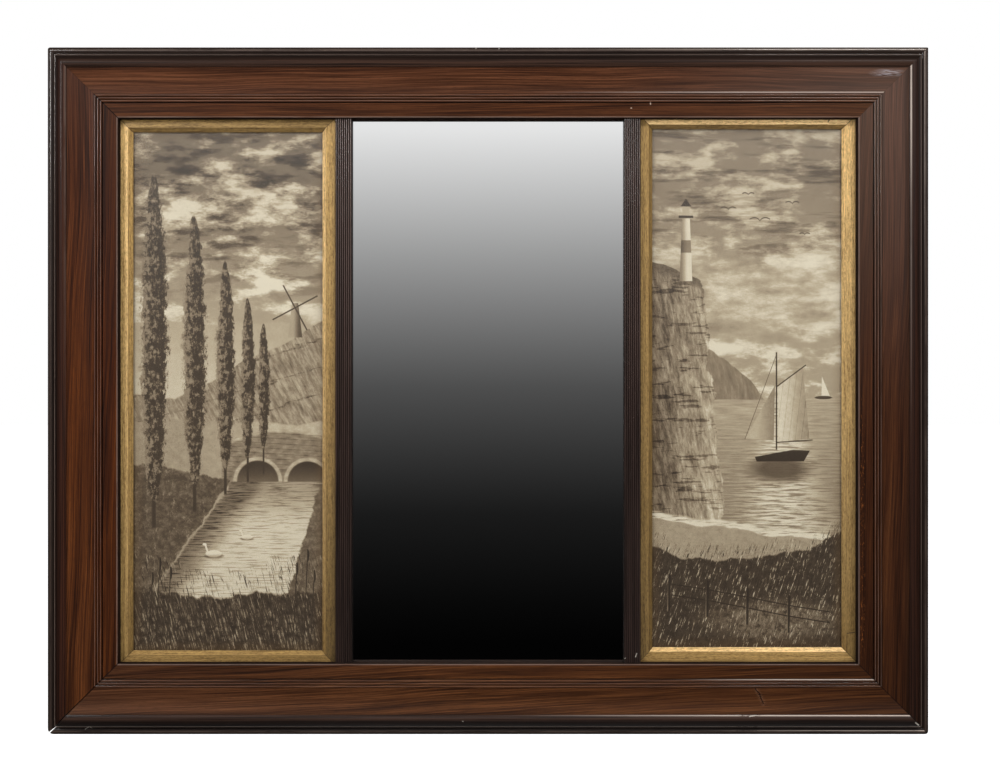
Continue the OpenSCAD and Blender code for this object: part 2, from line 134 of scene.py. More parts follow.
class Finish:
    """One finish of the object, a material or the room's light: its nodes, and its colour so far."""

    def __init__(self, owner):
        owner.use_nodes = True
        self.owner = owner
        self.tree = owner.node_tree
        self.tree.nodes.clear()
        self.colour = None

    def node(self, kind, settings=(), sockets=(), output=0):
        """Adds a node with its settings, its sockets' values or links, and returns one output as a Value."""
        made = self.tree.nodes.new(kind)
        for name, setting in dict(settings).items():
            if name == "stops":
                points = made.color_ramp.elements
                points[0].position, points[1].position = setting[0][0], setting[-1][0]
                for place, colour in setting[1:-1]:
                    points.new(place)
                for point, (place, colour) in zip(points, setting):
                    point.color = colour
            else:
                setattr(made, name, setting)
        for name, value in dict(sockets).items():
            if isinstance(value, Value):
                self.tree.links.new(value.socket, made.inputs[name])
            else:
                made.inputs[name].default_value = value
        return Value(self, made.outputs[output]) if made.outputs else None

    def axes(self):
        """(x, y, z) of the point on the surface, in metres in the object's own frame."""
        here = self.node("ShaderNodeTexCoord", output="Object")
        return [self.node("ShaderNodeSeparateXYZ", (), {0: here}, axis) for axis in range(3)]

    def place(self, *values):
        """A point in the finish, from three numbers."""
        return self.node("ShaderNodeCombineXYZ", (), dict(enumerate(values)))

    def here(self):
        return self.place(*self.axes())

    def noise(self, place, size, seed=0.0, detail=2.0, rough=0.5):
        """Noise from 0 to 1 in lumps of the three lengths in size, given in metres."""
        spread = self.node("ShaderNodeVectorMath", {"operation": "MULTIPLY_ADD"},
                           {0: place, 1: [1 / length for length in size], 2: (seed, 1.7 * seed, 2.3 * seed)})
        return self.node("ShaderNodeTexNoise", (), {"Vector": spread, "Scale": 1.0, "Detail": detail,
                                                    "Roughness": rough})

    def ramp(self, value, *stops):
        """The colour at value, between stops that each give a place from 0 to 1 and its colour."""
        return self.node("ShaderNodeValToRGB", {"stops": stops}, {0: value})

    def over(self, mask, under, upper):
        """The colour upper laid on the colour under, where mask is 1."""
        return self.node("ShaderNodeMix", {"data_type": "RGBA"}, {0: mask, 6: under, 7: upper}, 2)

    def lay(self, mask, colour):
        """Lays a colour over what is there so far, where mask is 1."""
        self.colour = self.over(mask, self.colour, colour)

    def tint(self, tint):
        """Multiplies the colour so far by a tint, which is a colour or three plain factors."""
        self.colour = self.node("ShaderNodeMix", {"data_type": "RGBA", "blend_type": "MULTIPLY"},
                                {0: 1.0, 6: self.colour, 7: tint}, 2)

    def surface(self, sockets, relief=0.0, depth=0.0):
        """Ends the material in one Principled shader, raised by depth metres where relief is 1."""
        if depth:
            normal = self.node("ShaderNodeBump", (), {"Height": relief * depth, "Distance": 1.0})
            sockets = {**sockets, "Normal": normal}
        shader = self.node("ShaderNodeBsdfPrincipled", (), {"Base Color": self.colour, **sockets})
        self.node("ShaderNodeOutputMaterial", (), {0: shader})
        return self.owner


def new_finish(name):
    return Finish(bpy.data.materials.new(name))


def dress(material, *names):
    """Gives one material to the named CAD nodes."""
    for name in names:
        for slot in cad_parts[name].material_slots:
            slot.material = material


pine_pale = seen(176, 136, 92)
pine_ring = seen(128, 86, 50)
pine_grime = seen(84, 64, 46)
outer_stain = seen(38, 26, 20)


def member(side, x, y, z):
    """(along, across, off) on a side of the frame: along it, in from the outer edge, and off the wall."""
    off = 0 - y
    if side == "top":
        return x + frame_w / 2, frame_h - z, off
    if side == "bottom":
        return x + frame_w / 2, z, off
    if side == "left":
        return z, x + frame_w / 2, off
    return z, frame_w / 2 - x, off


def level_grain(x, y, z):
    return x, z, y


def upright_grain(shift=0.0):
    """Grain that runs up a piece, sawn from a plank whose pith is shift metres aside."""
    return lambda x, y, z: (z, x + shift, y)


def pine(name, lengthwise, seed, grime=0.5, pale=pine_pale, side=None):
    """Planed pine, whose grain lengthwise gives as (along, across, depth) from (x, y, z)."""
    finish = new_finish(name)
    along, across, depth = lengthwise(*finish.axes())
    place = finish.place(along, across, depth)
    wander = finish.noise(place, (0.35, 0.05, 0.05), seed) - 0.5
    sideways = across + pith_lean * along + grain_drift * wander
    ring = (sideways * sideways + (depth + pith_depth) ** 2) ** 0.5
    late = (ring / ring_gap + 0.5 * finish.noise(place, (0.12, 0.02, 0.02), seed + 3)).part()
    fibre = finish.noise(place, (0.05, 0.0006, 0.0006), seed + 5, 3)
    dirt = finish.noise(place, (0.16, 0.05, 0.05), seed + 8, 5, 0.65)
    scuffs = finish.noise(place, (0.012, 0.004, 0.004), seed + 11, 4, 0.7)
    finish.colour = finish.over(late.rise(0.3, 0.97) * 0.75, pale, pine_ring)
    finish.lay(fibre.rise(0.5, 0.8) * 0.45, pine_ring)
    finish.lay((dirt + 0.35 * scuffs).rise(0.45, 0.95) * grime, pine_grime)
    if side:
        across = member(side, *finish.axes())[1]
        finish.lay(across.fall(0.0004, 0.0018 + 0.001 * scuffs) * 0.92, outer_stain)
    return finish.surface({"Roughness": 0.62 + 0.2 * dirt, "Specular IOR Level": 0.25},
                          0.55 * fibre + 0.45 * late, 0.0004)


for index, side in enumerate(side_length):
    member_name, grain = ("rail", level_grain) if side in ("top", "bottom") else ("stile", upright_grain())
    node_name = f"carcass_{side}_{member_name}"
    dress(pine(node_name, grain, seed=index * 4.1, side=side), node_name)

# ----------------------------------------------------------------------
# The mitre keys. A butterfly of harder, darker wood is let in across each corner of the carcass, glued
# and planed flush with the back, with its grain across the joint.
key_brown = seen(108, 74, 46)
key_pore = seen(58, 38, 24)


def key_wood(name, slant):
    """Darker wood whose grain runs at 45 degrees, rising to the right where slant is 1."""
    finish = new_finish(name)
    x, y, z = finish.axes()
    along = (x + slant * z) * math.sqrt(0.5)
    across = (z - slant * x) * math.sqrt(0.5)
    place = finish.place(along, across, y)
    tone = finish.noise(place, (0.03, 0.0016, 0.002), slant, 3, 0.6)
    pores = finish.noise(place, (0.004, 0.0004, 0.0004), 5 + slant, 2)
    finish.colour = finish.over(tone.rise(0.35, 0.65), key_brown, key_pore)
    finish.lay(pores.rise(0.6, 0.72), key_pore)
    return finish.surface({"Roughness": 0.55 + 0.2 * tone, "Specular IOR Level": 0.3}, tone, 0.0002)


for height, rising in (("top", 1), ("bottom", -1)):
    for end, slant in (("left", rising), ("right", -rising)):
        node_name = f"mitre_key_{height}_{end}"
        dress(key_wood(node_name, slant), node_name)

# ----------------------------------------------------------------------
# The edge moulding. A hardwood strip, stained black and polished: a bead on the frame's arris, a small
# bead, and a tall ridge. Handling has worn the beads grey, and the brown wood shows through on the ridge.
# Highlight lines are painted along the beads and the ridge's inner edge, and shade on the ridge's outer
# slope.
# Sizes across the strip are measured in from the frame's outer edge.
bead_crest = 0.0034
ridge_start = 0.0108
edge_w = 0.026
bead_brown = seen(50, 38, 32)
bead_soot = seen(28, 20, 17)
# A worn grey, also laid as painted highlight on the beads and on the ridge's inner edge
bead_wear_and_highlight = seen(124, 106, 95)
ridge_brown = {"top": seen(60, 40, 30), "bottom": seen(64, 45, 36), "left": seen(60, 30, 17),
               "right": seen(50, 27, 17)}
# The ridge's black, also laid as painted shade on its outer slope
ridge_black_and_shade = seen(14, 8, 6)
bare_wood = seen(158, 140, 122)
chip_white = seen(206, 198, 186)
seam_black = seen(14, 8, 6)
polish_roughness = 0.12
polish_ior = 1.38
seam_w = 0.0011
side_corners = {"top": ("top_left", "top_right"), "bottom": ("bottom_left", "bottom_right"),
                "left": ("bottom_left", "top_left"), "right": ("bottom_right", "top_right")}
# How far each mitre has opened, at the edge moulding, at the hollow and at the sight moulding
mitre_open = {"top_left": (0.25, 0.2, 0.95), "top_right": (0.15, 0.12, 0.15),
              "bottom_left": (1.0, 1.0, 1.0), "bottom_right": (0.8, 0.8, 0.8)}
# How far the black is rubbed off each side's beads, which also sets the painted highlight on the bead crest,
# and where the small bead's painted highlight line lies and how strong it is
bead_rub_and_highlight = {"top": 0.4, "bottom": 0.35, "left": 0.1, "right": 0.3}
small_bead_highlight_place = {"top": 0.0094, "bottom": 0.0099, "left": 0.0089, "right": 0.0089}
small_bead_highlight = {"top": 0.4, "bottom": 0.55, "left": 0.5, "right": 0.45}
# How dark the painted shade on the ridge's outer slope is, where that starts to fade on the way in and where
# it has gone
outer_shade = {"top": (0.72, 0.0165, 0.0205), "bottom": (0.8, 0.0180, 0.0220),
               "left": (0.70, 0.0150, 0.0225), "right": (0.42, 0.0140, 0.0210)}
# How thick the polish lies, and how far the black is rubbed off the ridge's inner edge, where a highlight
# is painted as well
bead_coat = 0.65
ridge_coat = {"top": 0.04, "bottom": 0.6, "left": 0.08, "right": 0.6}
ridge_edge_rub_and_highlight = {"top": 0.0, "bottom": 0.06, "left": 0.34, "right": 0.08}
# Highlight lines painted along arrises: place across, half width, share of the length where the mark
# starts and where it is full, and how strong it is
arris_highlights = {"top": ((0.0025, 0.0009, 0.55, 0.92, 0.55),),
                  "bottom": ((0.0044, 0.0009, 0.72, 0.90, 0.65), (0.0098, 0.0012, -0.3, -0.1, 0.4),
                             (0.0100, 0.0012, 0.60, 0.86, 0.4), (0.0258, 0.0015, 0.50, 0.86, 0.85)),
                  "left": (),
                  "right": ((0.0045, 0.0009, 0.60, 0.90, 0.32), (0.0247, 0.0014, 0.40, 0.75, 0.14),
                            (0.0247, 0.0014, 0.74, 0.92, 0.62))}
# The colour of the painted highlight lines
highlight_pale = seen(214, 197, 184)
# Scratches and chips, each from one point in x and z to another, with its width
bottom_chips = ((0.293, 0.026, 0.303, 0.0275, 0.0009), (0.309, 0.0245, 0.318, 0.0262, 0.0007),
                (0.322, 0.0285, 0.331, 0.0272, 0.0008), (0.5056, 0.0172, 0.5094, 0.0142, 0.0012),
                (-0.0298, 0.0192, -0.0291, 0.0185, 0.0005), (-0.5122, 0.0098, -0.5072, 0.0112, 0.0005),
                (-0.4802, 0.0062, -0.4755, 0.0092, 0.0006), (-0.4744, 0.0094, -0.4712, 0.0070, 0.0005))
top_chips = ((-0.0146, 0.8172, -0.0138, 0.8186, 0.0006), (0.0128, 0.8166, 0.0136, 0.8182, 0.0006))
# Where the ridge's inner arris is frayed, below the hollow's crack, which breaks its painted highlight
frayed_x, frayed_half = 0.3085, 0.0175


def scratch(x, z, from_x, from_z, to_x, to_z, wide):
    """1 along a straight mark of that width between two points, and 0 off it."""
    reach = math.hypot(to_x - from_x, to_z - from_z)
    along_x, along_z = (to_x - from_x) / reach, (to_z - from_z) / reach
    along = (x - from_x) * along_x + (z - from_z) * along_z
    off = (z - from_z) * along_x - (x - from_x) * along_z
    return abs(off).fall(wide * 0.3, wide) * along.rise(-wide, 0) * along.fall(reach, reach + wide)


def lay_seams(finish, side, along, across, strip):
    """Lays the dark line of glue and dirt where this side of the frame meets its two neighbours."""
    first, second = side_corners[side]
    near_first = abs(along - across).fall(0.0003, seam_w) * mitre_open[first][strip]
    near_second = abs(side_length[side] - along - across).fall(0.0003, seam_w) * mitre_open[second][strip]
    seam = near_first.most(near_second)
    finish.lay(seam, seam_black)
    return seam


def highlight_line(across, way, arris, reach, clear_to, full_from):
    """Mask of a painted highlight line: 1 along an arris, and 0 beyond reach from it and up to clear_to of
    the way along the side.
    """
    return across.near(arris, reach) * way.rise(clear_to, full_from)


def polished(finish, relief, roughness, coat):
    """Ends a stained and polished wood: a dull body under a thin clear coat, as thick as coat says."""
    return finish.surface({"Roughness": roughness, "Specular IOR Level": 0.1, "Coat Weight": coat,
                           "Coat Roughness": polish_roughness, "Coat IOR": polish_ior}, relief, 0.00004)


def edge_finish(side, seed):
    finish = new_finish(f"ebonised_{side}")
    x, y, z = finish.axes()
    along, across, off = member(side, x, y, z)
    place = finish.place(along, across, off)
    streak = finish.noise(place, (0.2, 0.0012, 0.004), seed, 3, 0.6)
    patchy = finish.noise(place, (0.06, 0.006, 0.008), seed + 2, 5, 0.7)
    knocks = finish.noise(place, (0.0035, 0.001, 0.002), seed + 4, 3, 0.7)
    bead = finish.over(streak.rise(0.3, 0.66), bead_soot, bead_brown)
    ridge = finish.over(streak.rise(0.25, 0.65), ridge_black_and_shade, ridge_brown[side])
    shade, fade_from, fade_to = outer_shade[side]
    # Painted shade on the ridge's outer slope
    ridge = finish.over(across.fall(fade_from, fade_to) * shade, ridge, ridge_black_and_shade)
    on_ridge = across.rise(ridge_start - 0.0004, ridge_start + 0.0004)
    finish.colour = finish.over(on_ridge, bead, ridge)
    way = along / side_length[side]
    # Wear with a painted highlight along the ridge's inner edge, growing along the side
    edge_wear_and_highlight = across.near(edge_w - 0.0008, 0.0026) * patchy.rise(0.2, 0.6) * way.rise(0.3, 1.0)
    finish.lay(edge_wear_and_highlight * ridge_edge_rub_and_highlight[side], bead_wear_and_highlight)
    # Worn bead crests that also carry a painted highlight, and a painted highlight line on the small bead
    rub = across.near(bead_crest, 0.0018) * patchy.rise(0.3, 0.6) * bead_rub_and_highlight[side]
    small_highlight = across.near(small_bead_highlight_place[side], 0.001) * patchy.rise(0.1, 0.5) * small_bead_highlight[side]
    finish.lay(rub.most(small_highlight), bead_wear_and_highlight)
    frayed = x.near(frayed_x, frayed_half).rise(0, 0.3) * knocks.rise(0.42, 0.54)
    # Painted highlight lines along the arrises, broken where the arris is frayed
    for *mark, strength in arris_highlights[side]:
        bright = highlight_line(across, way, *mark) * (0.75 + 0.5 * patchy)
        if side == "bottom":
            bright = bright * (1 - 0.75 * frayed)
        finish.lay(bright * strength, highlight_pale)
    bare = across.near(bead_crest, 0.0016) * knocks.rise(0.66, 0.72)
    bare = bare.most(across.near(0.0006, 0.0016) * knocks.rise(0.64, 0.72))
    finish.lay(bare * bead_rub_and_highlight[side], bare_wood)
    for chip in {"bottom": bottom_chips, "top": top_chips}.get(side, ()):
        ragged = scratch(x, z, *chip) * knocks.rise(0.35, 0.5)
        finish.lay(ragged * 0.8, chip_white)
    seam = lay_seams(finish, side, along, across, 0)
    coat = (bead_coat - (bead_coat - ridge_coat[side]) * on_ridge) * (1 - 0.8 * bare)
    if side == "bottom":
        coat = coat * (0.1 + 0.9 * way.rise(0.15, 0.4))
    return polished(finish, 0.5 * streak + 0.5 * knocks, 0.45 + 0.3 * bare + 0.3 * seam, coat)


for index, side in enumerate(side_length):
    dress(edge_finish(side, seed=11 + 3.3 * index), f"edge_moulding_{side}")

# ----------------------------------------------------------------------
# The hollow. A wide shallow cove veneered in rosewood with its straight grain along each side, under a
# thin old polish. The bottom one is cracked. The top one has a painted highlight line on its inner arris
# and a painted glare near its right end, a grey sheen is painted towards the top right, and shade is
# painted where the hollow meets the ridge. The sides were cut from different leaves of veneer, so each has
# its own tint, which changes along it and also carries painted light and shade.
rosewood_line = seen(35, 17, 6)
rosewood_deep = seen(58, 32, 16)
rosewood_warm = seen(78, 47, 29)
rosewood_pale = seen(101, 66, 45)
# The tint of each side at its left or lower end, in its middle and at its other end. Besides the veneer's own
# colour it carries painted light and shade, such as the darker lower end of the right side
side_tint_and_shade = {"top": ((1.18, 1.02, 0.82), (1.09, 0.95, 0.79), (1.0, 0.87, 0.76)),
             "bottom": ((0.94, 0.88, 0.73), (1.26, 1.12, 0.68), (0.80, 0.67, 0.36)),
             "left": ((1.05, 0.79, 0.36), (1.06, 0.68, 0.22), (0.74, 0.55, 0.43)),
             "right": ((0.52, 0.39, 0.17), (0.69, 0.53, 0.32), (0.76, 0.55, 0.43))}
sheen_grey = seen(112, 94, 84)
# The painted grey sheen: the share of the length where it starts, where it is full, and how strong it is
painted_sheen = {"top": (0.60, 1.0, 0.31), "bottom": (-0.5, -0.2, 0.0), "left": (0.8, 1.15, 0.12),
         "right": (0.4, 1.0, 0.32)}
# How far the grain swings, and how far it runs off the line of each side
grain_swing = 0.020
grain_lean = {"top": 0.004, "bottom": -0.045, "left": -0.03, "right": 0.035}
# How dark the painted shade is where the hollow meets the ridge, and how far out of the corner it reaches
hollow_crease_shade = {"top": (0.35, 0.003), "bottom": (0.45, 0.005), "left": (0.35, 0.004), "right": (0.6, 0.009)}
# The crack's points in x and z, from the inner arris out
crack = ((0.3136, 0.0660), (0.3183, 0.0541), (0.3219, 0.0506), (0.3240, 0.0446), (0.3267, 0.0387))
crack_w = 0.0009
fray_pale = seen(132, 100, 78)
# The painted glare's middle in x and z, and half its width and height
painted_glare = (0.474, 0.7862, 0.026, 0.0062)
glare_grey = seen(182, 178, 184)
# Where a highlight line is painted along the hollow's inner arris, told as the arris highlights are
hollow_arris_highlight = (0.0551, 0.0012, 0.52, 0.84)


def rosewood(finish, side, along, across, off, seed, sheen_share=1.0):
    """Lays the figure of rosewood: straight threads and streaks, thin black lines, and a painted grey sheen.
    """
    loose = finish.place(along, across, off)
    drift = grain_swing * (finish.noise(loose, (0.3, 0.12, 0.12), seed, 1) - 0.5) + grain_lean[side] * along
    place = finish.place(along, across + drift, off)
    bands = finish.noise(place, (0.5, 0.010, 0.03), seed + 1, 2)
    streak = finish.noise(place, (0.22, 0.0021, 0.01), seed + 2, 3, 0.6)
    thread = finish.noise(place, (0.09, 0.0009, 0.004), seed + 4, 3, 0.62)
    lines = finish.noise(place, (0.3, 0.009, 0.02), seed + 6, 2, 0.5).near(0.5, 0.02)
    pores = finish.noise(place, (0.010, 0.0005, 0.0008), seed + 8, 2)
    tone = 0.24 * bands + 0.34 * streak + 0.42 * thread
    finish.colour = finish.ramp(tone, (0.40, rosewood_line), (0.465, rosewood_deep),
                                (0.535, rosewood_warm), (0.635, rosewood_pale))
    way = along / side_length[side]
    # Each side's tint along it, which also paints light and shade on it
    first, middle, last = [(*tint, 1.0) for tint in side_tint_and_shade[side]]
    finish.tint(finish.over(2 * way - 1, finish.over(2 * way, first, middle), last))
    finish.lay(lines * streak.fall(0.35, 0.7) * 0.35, rosewood_line)
    finish.lay(pores.rise(0.55, 0.68) * 0.4, rosewood_line)
    # A grey sheen painted towards one end of the side, as a reflection in the polish
    clear_to, full_from, strength = painted_sheen[side]
    grey = way.rise(clear_to, full_from) * (0.4 + 1.2 * thread) * sheen_share
    finish.lay(grey * strength, sheen_grey)
    return thread, pores


def hollow_finish(side, seed):
    finish = new_finish(f"rosewood_hollow_{side}")
    x, y, z = finish.axes()
    along, across, off = member(side, x, y, z)
    thread, pores = rosewood(finish, side, along, across, off, seed)
    # Painted shade where the hollow meets the ridge
    start_dark, dark_w = hollow_crease_shade[side]
    finish.lay(across.fall(edge_w, edge_w + dark_w) * start_dark, rosewood_line)
    face = finish.place(x, z, 0.0)
    if side == "top":
        # A painted highlight along the hollow's inner arris
        finish.lay(highlight_line(across, along / frame_w, *hollow_arris_highlight) * 0.5, highlight_pale)
        # A painted glare on the polish near the right end
        middle_x, middle_z, half_w, half_h = painted_glare
        far = (((x - middle_x) / half_w) ** 2 + ((z - middle_z) / half_h) ** 2) ** 0.5
        glare_streaks = finish.noise(face, (0.009, 0.0008, 1.0), seed + 20, 3, 0.6)
        finish.lay(far.fall(0.0, 1.0) * glare_streaks.rise(0.4, 0.64) * 0.66, glare_grey)
    if side == "bottom":
        frays = finish.noise(face, (0.0022, 0.0011, 1.0), seed + 21, 3, 0.7).rise(0.49, 0.6)
        beside = scratch(x, z, *crack[0], *crack[-1], 0.0042)
        finish.lay(frays * beside * 0.35, fray_pale)
        gap = 0.0
        for start, end in zip(crack, crack[1:]):
            gap = scratch(x, z, *start, *end, crack_w).most(gap)
        finish.lay(gap, seam_black)
    seam = lay_seams(finish, side, along, across, 1)
    return polished(finish, 0.6 * thread - pores, 0.5 + 0.1 * thread + 0.3 * seam, 0.16 - 0.1 * seam)


for index, side in enumerate(side_length):
    dress(hollow_finish(side, seed=31 + 5.3 * index), f"hollow_moulding_{side}")

# ----------------------------------------------------------------------
# The sight moulding. Three narrow reeds and a flat band of rosewood in one strip, whose lip holds the
# glass. Shade is painted in the quirks and on the lip's side face. The polish has worn thin along the reeds,
# and their crests and the lip's arris carry painted highlight lines.
reeds_start = 0.057
reed_pitch = 0.0034
reeds_end = reeds_start + 3 * reed_pitch
sight_lip = 0.085
band_flecks = 0.0805
# A pale worn grey, also laid as painted highlight on the reeds' crests and the lip's arris
reed_wear_and_highlight = seen(127, 109, 99)
reed_rub_and_highlight = {"top": 0.62, "bottom": 0.42, "left": 0.5, "right": 0.5}
# Painted shade, laid in the quirks, on the lip's side face and in the bars' quirks
quirk_shade = seen(22, 13, 9)
band_tint = {"top": (0.88, 0.82, 0.64), "bottom": (0.88, 0.85, 0.78), "left": (0.80, 0.71, 0.46),
             "right": (0.9, 0.86, 0.78)}
# How strong the painted sheen is on each side's band
band_sheen = {"top": 0.35, "bottom": 1.0, "left": 1.0, "right": 1.05}
fleck_orange = seen(132, 74, 32)
# Where a highlight line is painted along the innermost reed's inner arris, told as the arris highlights are
reed_arris_highlight = (0.0669, 0.0009, 0.70, 0.86)
top_nicks = ((0.1697, 0.7451, 0.1706, 0.7452, 0.0009), (0.1929, 0.7516, 0.1929, 0.7497, 0.0011))
nick_pale = seen(190, 164, 146)


def reed_crest(across, pitch):
    """1 on the crest of each reed, and 0 in the quirks between them."""
    return 1 - abs((across / pitch).part() * 2 - 1)


def sight_finish(side, seed):
    finish = new_finish(f"rosewood_sight_{side}")
    x, y, z = finish.axes()
    along, across, off = member(side, x, y, z)
    thread, pores = rosewood(finish, side, along, across, off, seed, band_sheen[side])
    finish.tint((*band_tint[side], 1.0))
    place = finish.place(along, across, off)
    patchy = finish.noise(place, (0.07, 0.003, 0.01), seed + 12, 4, 0.6)
    reeded = across.fall(reeds_end, reeds_end + 0.0006)
    crest = reed_crest(across - reeds_start, reed_pitch)
    # Painted shade in the quirks between the reeds
    finish.lay(reeded * crest.fall(0.05, 0.45) * 0.75, quirk_shade)
    # Worn reed crests that also carry a painted highlight line
    crest_highlight = crest.rise(0.72, 1.0) * patchy.rise(0.15, 0.6) * reed_rub_and_highlight[side]
    finish.lay(reeded * crest_highlight, reed_wear_and_highlight)
    if side == "bottom":
        # A painted highlight along the innermost reed's inner arris
        finish.lay(highlight_line(across, along / frame_w, *reed_arris_highlight) * 0.75, highlight_pale)
    if side == "top":
        for nick in top_nicks:
            finish.lay(scratch(x, z, *nick) * 0.8, nick_pale)
    if side == "right":
        flecks = finish.noise(place, (0.005, 0.0014, 0.003), seed + 15, 3, 0.7).rise(0.56, 0.64)
        flecks = flecks * across.near(band_flecks, 0.005) * along.rise(0.08, 0.12) * along.fall(0.34, 0.43)
        finish.lay(flecks * 0.7, fleck_orange)
    # Painted shade in the quirk beside the last reed
    finish.lay(across.near(reeds_end + 0.0004, 0.0006) * 0.7, quirk_shade)
    # A painted highlight along the lip's arris
    lip_highlight = across.near(sight_lip - 0.0008, 0.0012) * patchy.rise(0.2, 0.55) * 0.6
    finish.lay(lip_highlight, reed_wear_and_highlight)
    # Painted shade on the lip's side face
    lip_side = across.rise(sight_lip - 0.0003, sight_lip)
    finish.lay(lip_side * 0.85, quirk_shade)
    seam = lay_seams(finish, side, along, across, 2)
    dull = 0.45 + 0.1 * thread + (0.3 * seam).most(0.5 * lip_side)
    return polished(finish, 0.6 * thread - pores, dull, (0.2 + 0.3 * reeded) * (1 - lip_side))


for index, side in enumerate(side_length):
    dress(sight_finish(side, seed=51 + 5.3 * index), f"sight_moulding_{side}")

# ----------------------------------------------------------------------
# The division bars. Two upright bars of eight fine reeds, stained dark and polished, tenoned in behind
# the sight moulding between the plate and the pictures. The right one is chipped at its foot.
bar_reeds = 8
bar_deep = seen(32, 23, 20)
bar_lit = seen(60, 45, 40)
bar_foot = seen(22, 15, 12)
# A pale grey for worn patches and for the painted highlights on the reeds' crests
bar_wear_and_highlight = seen(112, 97, 90)
bar_chips = ((0.1626, 0.0903, 0.1640, 0.0912, 0.0005), (0.1758, 0.0925, 0.1772, 0.0965, 0.0009))


def bar_finish(name, seed):
    finish = new_finish(name)
    x, y, z = finish.axes()
    place = finish.place(z, x, y)
    streak = finish.noise(place, (0.2, 0.002, 0.004), seed, 3, 0.6)
    patchy = finish.noise(place, (0.06, 0.003, 0.006), seed + 2, 4, 0.65)
    ragged = finish.noise(place, (0.002, 0.001, 0.002), seed + 4, 3, 0.7)
    finish.colour = finish.over(streak.rise(0.35, 0.65), bar_deep, bar_lit)
    low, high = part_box(name)
    crest = reed_crest(x - low.x, (high.x - low.x) / bar_reeds)
    # Painted highlights on the reeds' crests, stronger higher up
    finish.lay(crest.rise(0.45, 0.9) * (0.02 + 0.42 * z.rise(0.38, 0.68)), bar_wear_and_highlight)
    # Painted shade in the quirks between the bar's reeds
    finish.lay(crest.fall(0.1, 0.5) * 0.85, quirk_shade)
    finish.lay(patchy.rise(0.58, 0.75) * 0.25, bar_wear_and_highlight)
    finish.lay(z.fall(0.1, 0.55) * 0.4, bar_foot)
    for chip in bar_chips:
        finish.lay(scratch(x, z, *chip) * ragged.rise(0.35, 0.5) * 0.6, chip_white)
    return polished(finish, streak, 0.45 + 0.12 * patchy, 0.68 * crest.rise(0.1, 0.6))


for end, seed in (("left", 71), ("right", 75)):
    node_name = f"{end}_division_bar"
    dress(bar_finish(node_name, seed=seed), node_name)

# ----------------------------------------------------------------------
# The mirror plate. Plain plate glass, silvered on its back. Seen from the front it is the silver that
# shows; on the real plate the back of the silvering has a coat of red-brown paint, hidden by the boards,
# but here the plate is silver all over.
silver = (0.93, 0.935, 0.935, 1.0)


def plate_finish():
    finish = new_finish("silvered_plate")
    finish.colour = silver
    haze = finish.noise(finish.here(), (0.2, 0.2, 0.2), 3, 3)
    return finish.surface({"Metallic": 1.0, "Roughness": 0.012 + 0.012 * haze})


dress(plate_finish(), "mirror_plate")

# ----------------------------------------------------------------------
# Behind the plate. Small blocks of sawn pine wedge it in its rebate, and two thin pine boards close the
# opening, with the grain upright.
block_pale = seen(188, 150, 104)
dress(pine("wedge_blocks", upright_grain(), seed=85, grime=0.25, pale=block_pale), "mirror_wedge_blocks")
dress(pine("board_left", upright_grain(0.07), seed=91, grime=0.55), "mirror_board_left")
dress(pine("board_right", upright_grain(-0.12), seed=97, grime=0.6), "mirror_board_right")

# ----------------------------------------------------------------------
# The gilt slips. Oak lengths, mitred round each picture, with metal leaf laid straight on the open
# grain: a flat and, next to the glass, a narrow bevel. The leaf is rubbed thin in places. Each length, and
# each end of it, is painted to its own brightness, which carries painted highlights and shade, such as the
# glare on the right picture's top slip and the upright lengths growing lighter towards the top.
slip_w = 0.020
bevel_w = 0.0046
leaf_thin = seen(96, 70, 40)
leaf_bare = seen(52, 36, 24)
# How bright the leaf is painted, on the flat and on the bevel, at the left or lower end and at the other;
# this carries painted highlights and shade as well as the leaf's own wear
leaf_light_levels = {"left_top": ((156, 146), (126, 126)), "left_bottom": ((156, 140), (165, 158)),
               "left_outer": ((150, 220), (130, 180)), "left_inner": ((104, 188), (136, 245)),
               "right_top": ((248, 255), (124, 132)), "right_bottom": ((164, 180), (232, 250)),
               "right_outer": ((132, 226), (130, 230)), "right_inner": ((116, 166), (110, 134))}
# How the leaf's streaks darken and lighten it, from the darkest to the palest
leaf_streaks = ((0.39, (0.52, 0.47, 0.40, 1.0)), (0.5, (1.0, 1.0, 1.0, 1.0)), (0.61, (1.4, 1.4, 1.4, 1.0)))
# How much of a length is still bright metal, usually and where it differs
usual_metal = 0.12
leaf_metal = {"right_top": 0.0, "left_inner": 0.2, "right_outer": 0.2}
# A dent and a scratch, each from one point in x and z to another, with its width
slip_marks = {"right_top": ((0.4092, 0.7352, 0.4074, 0.7316, 0.0011),),
              "right_outer": ((0.4300, 0.1190, 0.4392, 0.1200, 0.0008),)}


def leaf(level):
    """Metal leaf painted as bright as level, from 0 to 255: a brown gold when dull, and paler where a
    highlight is painted.
    """
    shine = (level / 255) ** 3
    return seen(level, level * (0.785 + 0.06 * shine), level * (0.42 + 0.18 * shine))


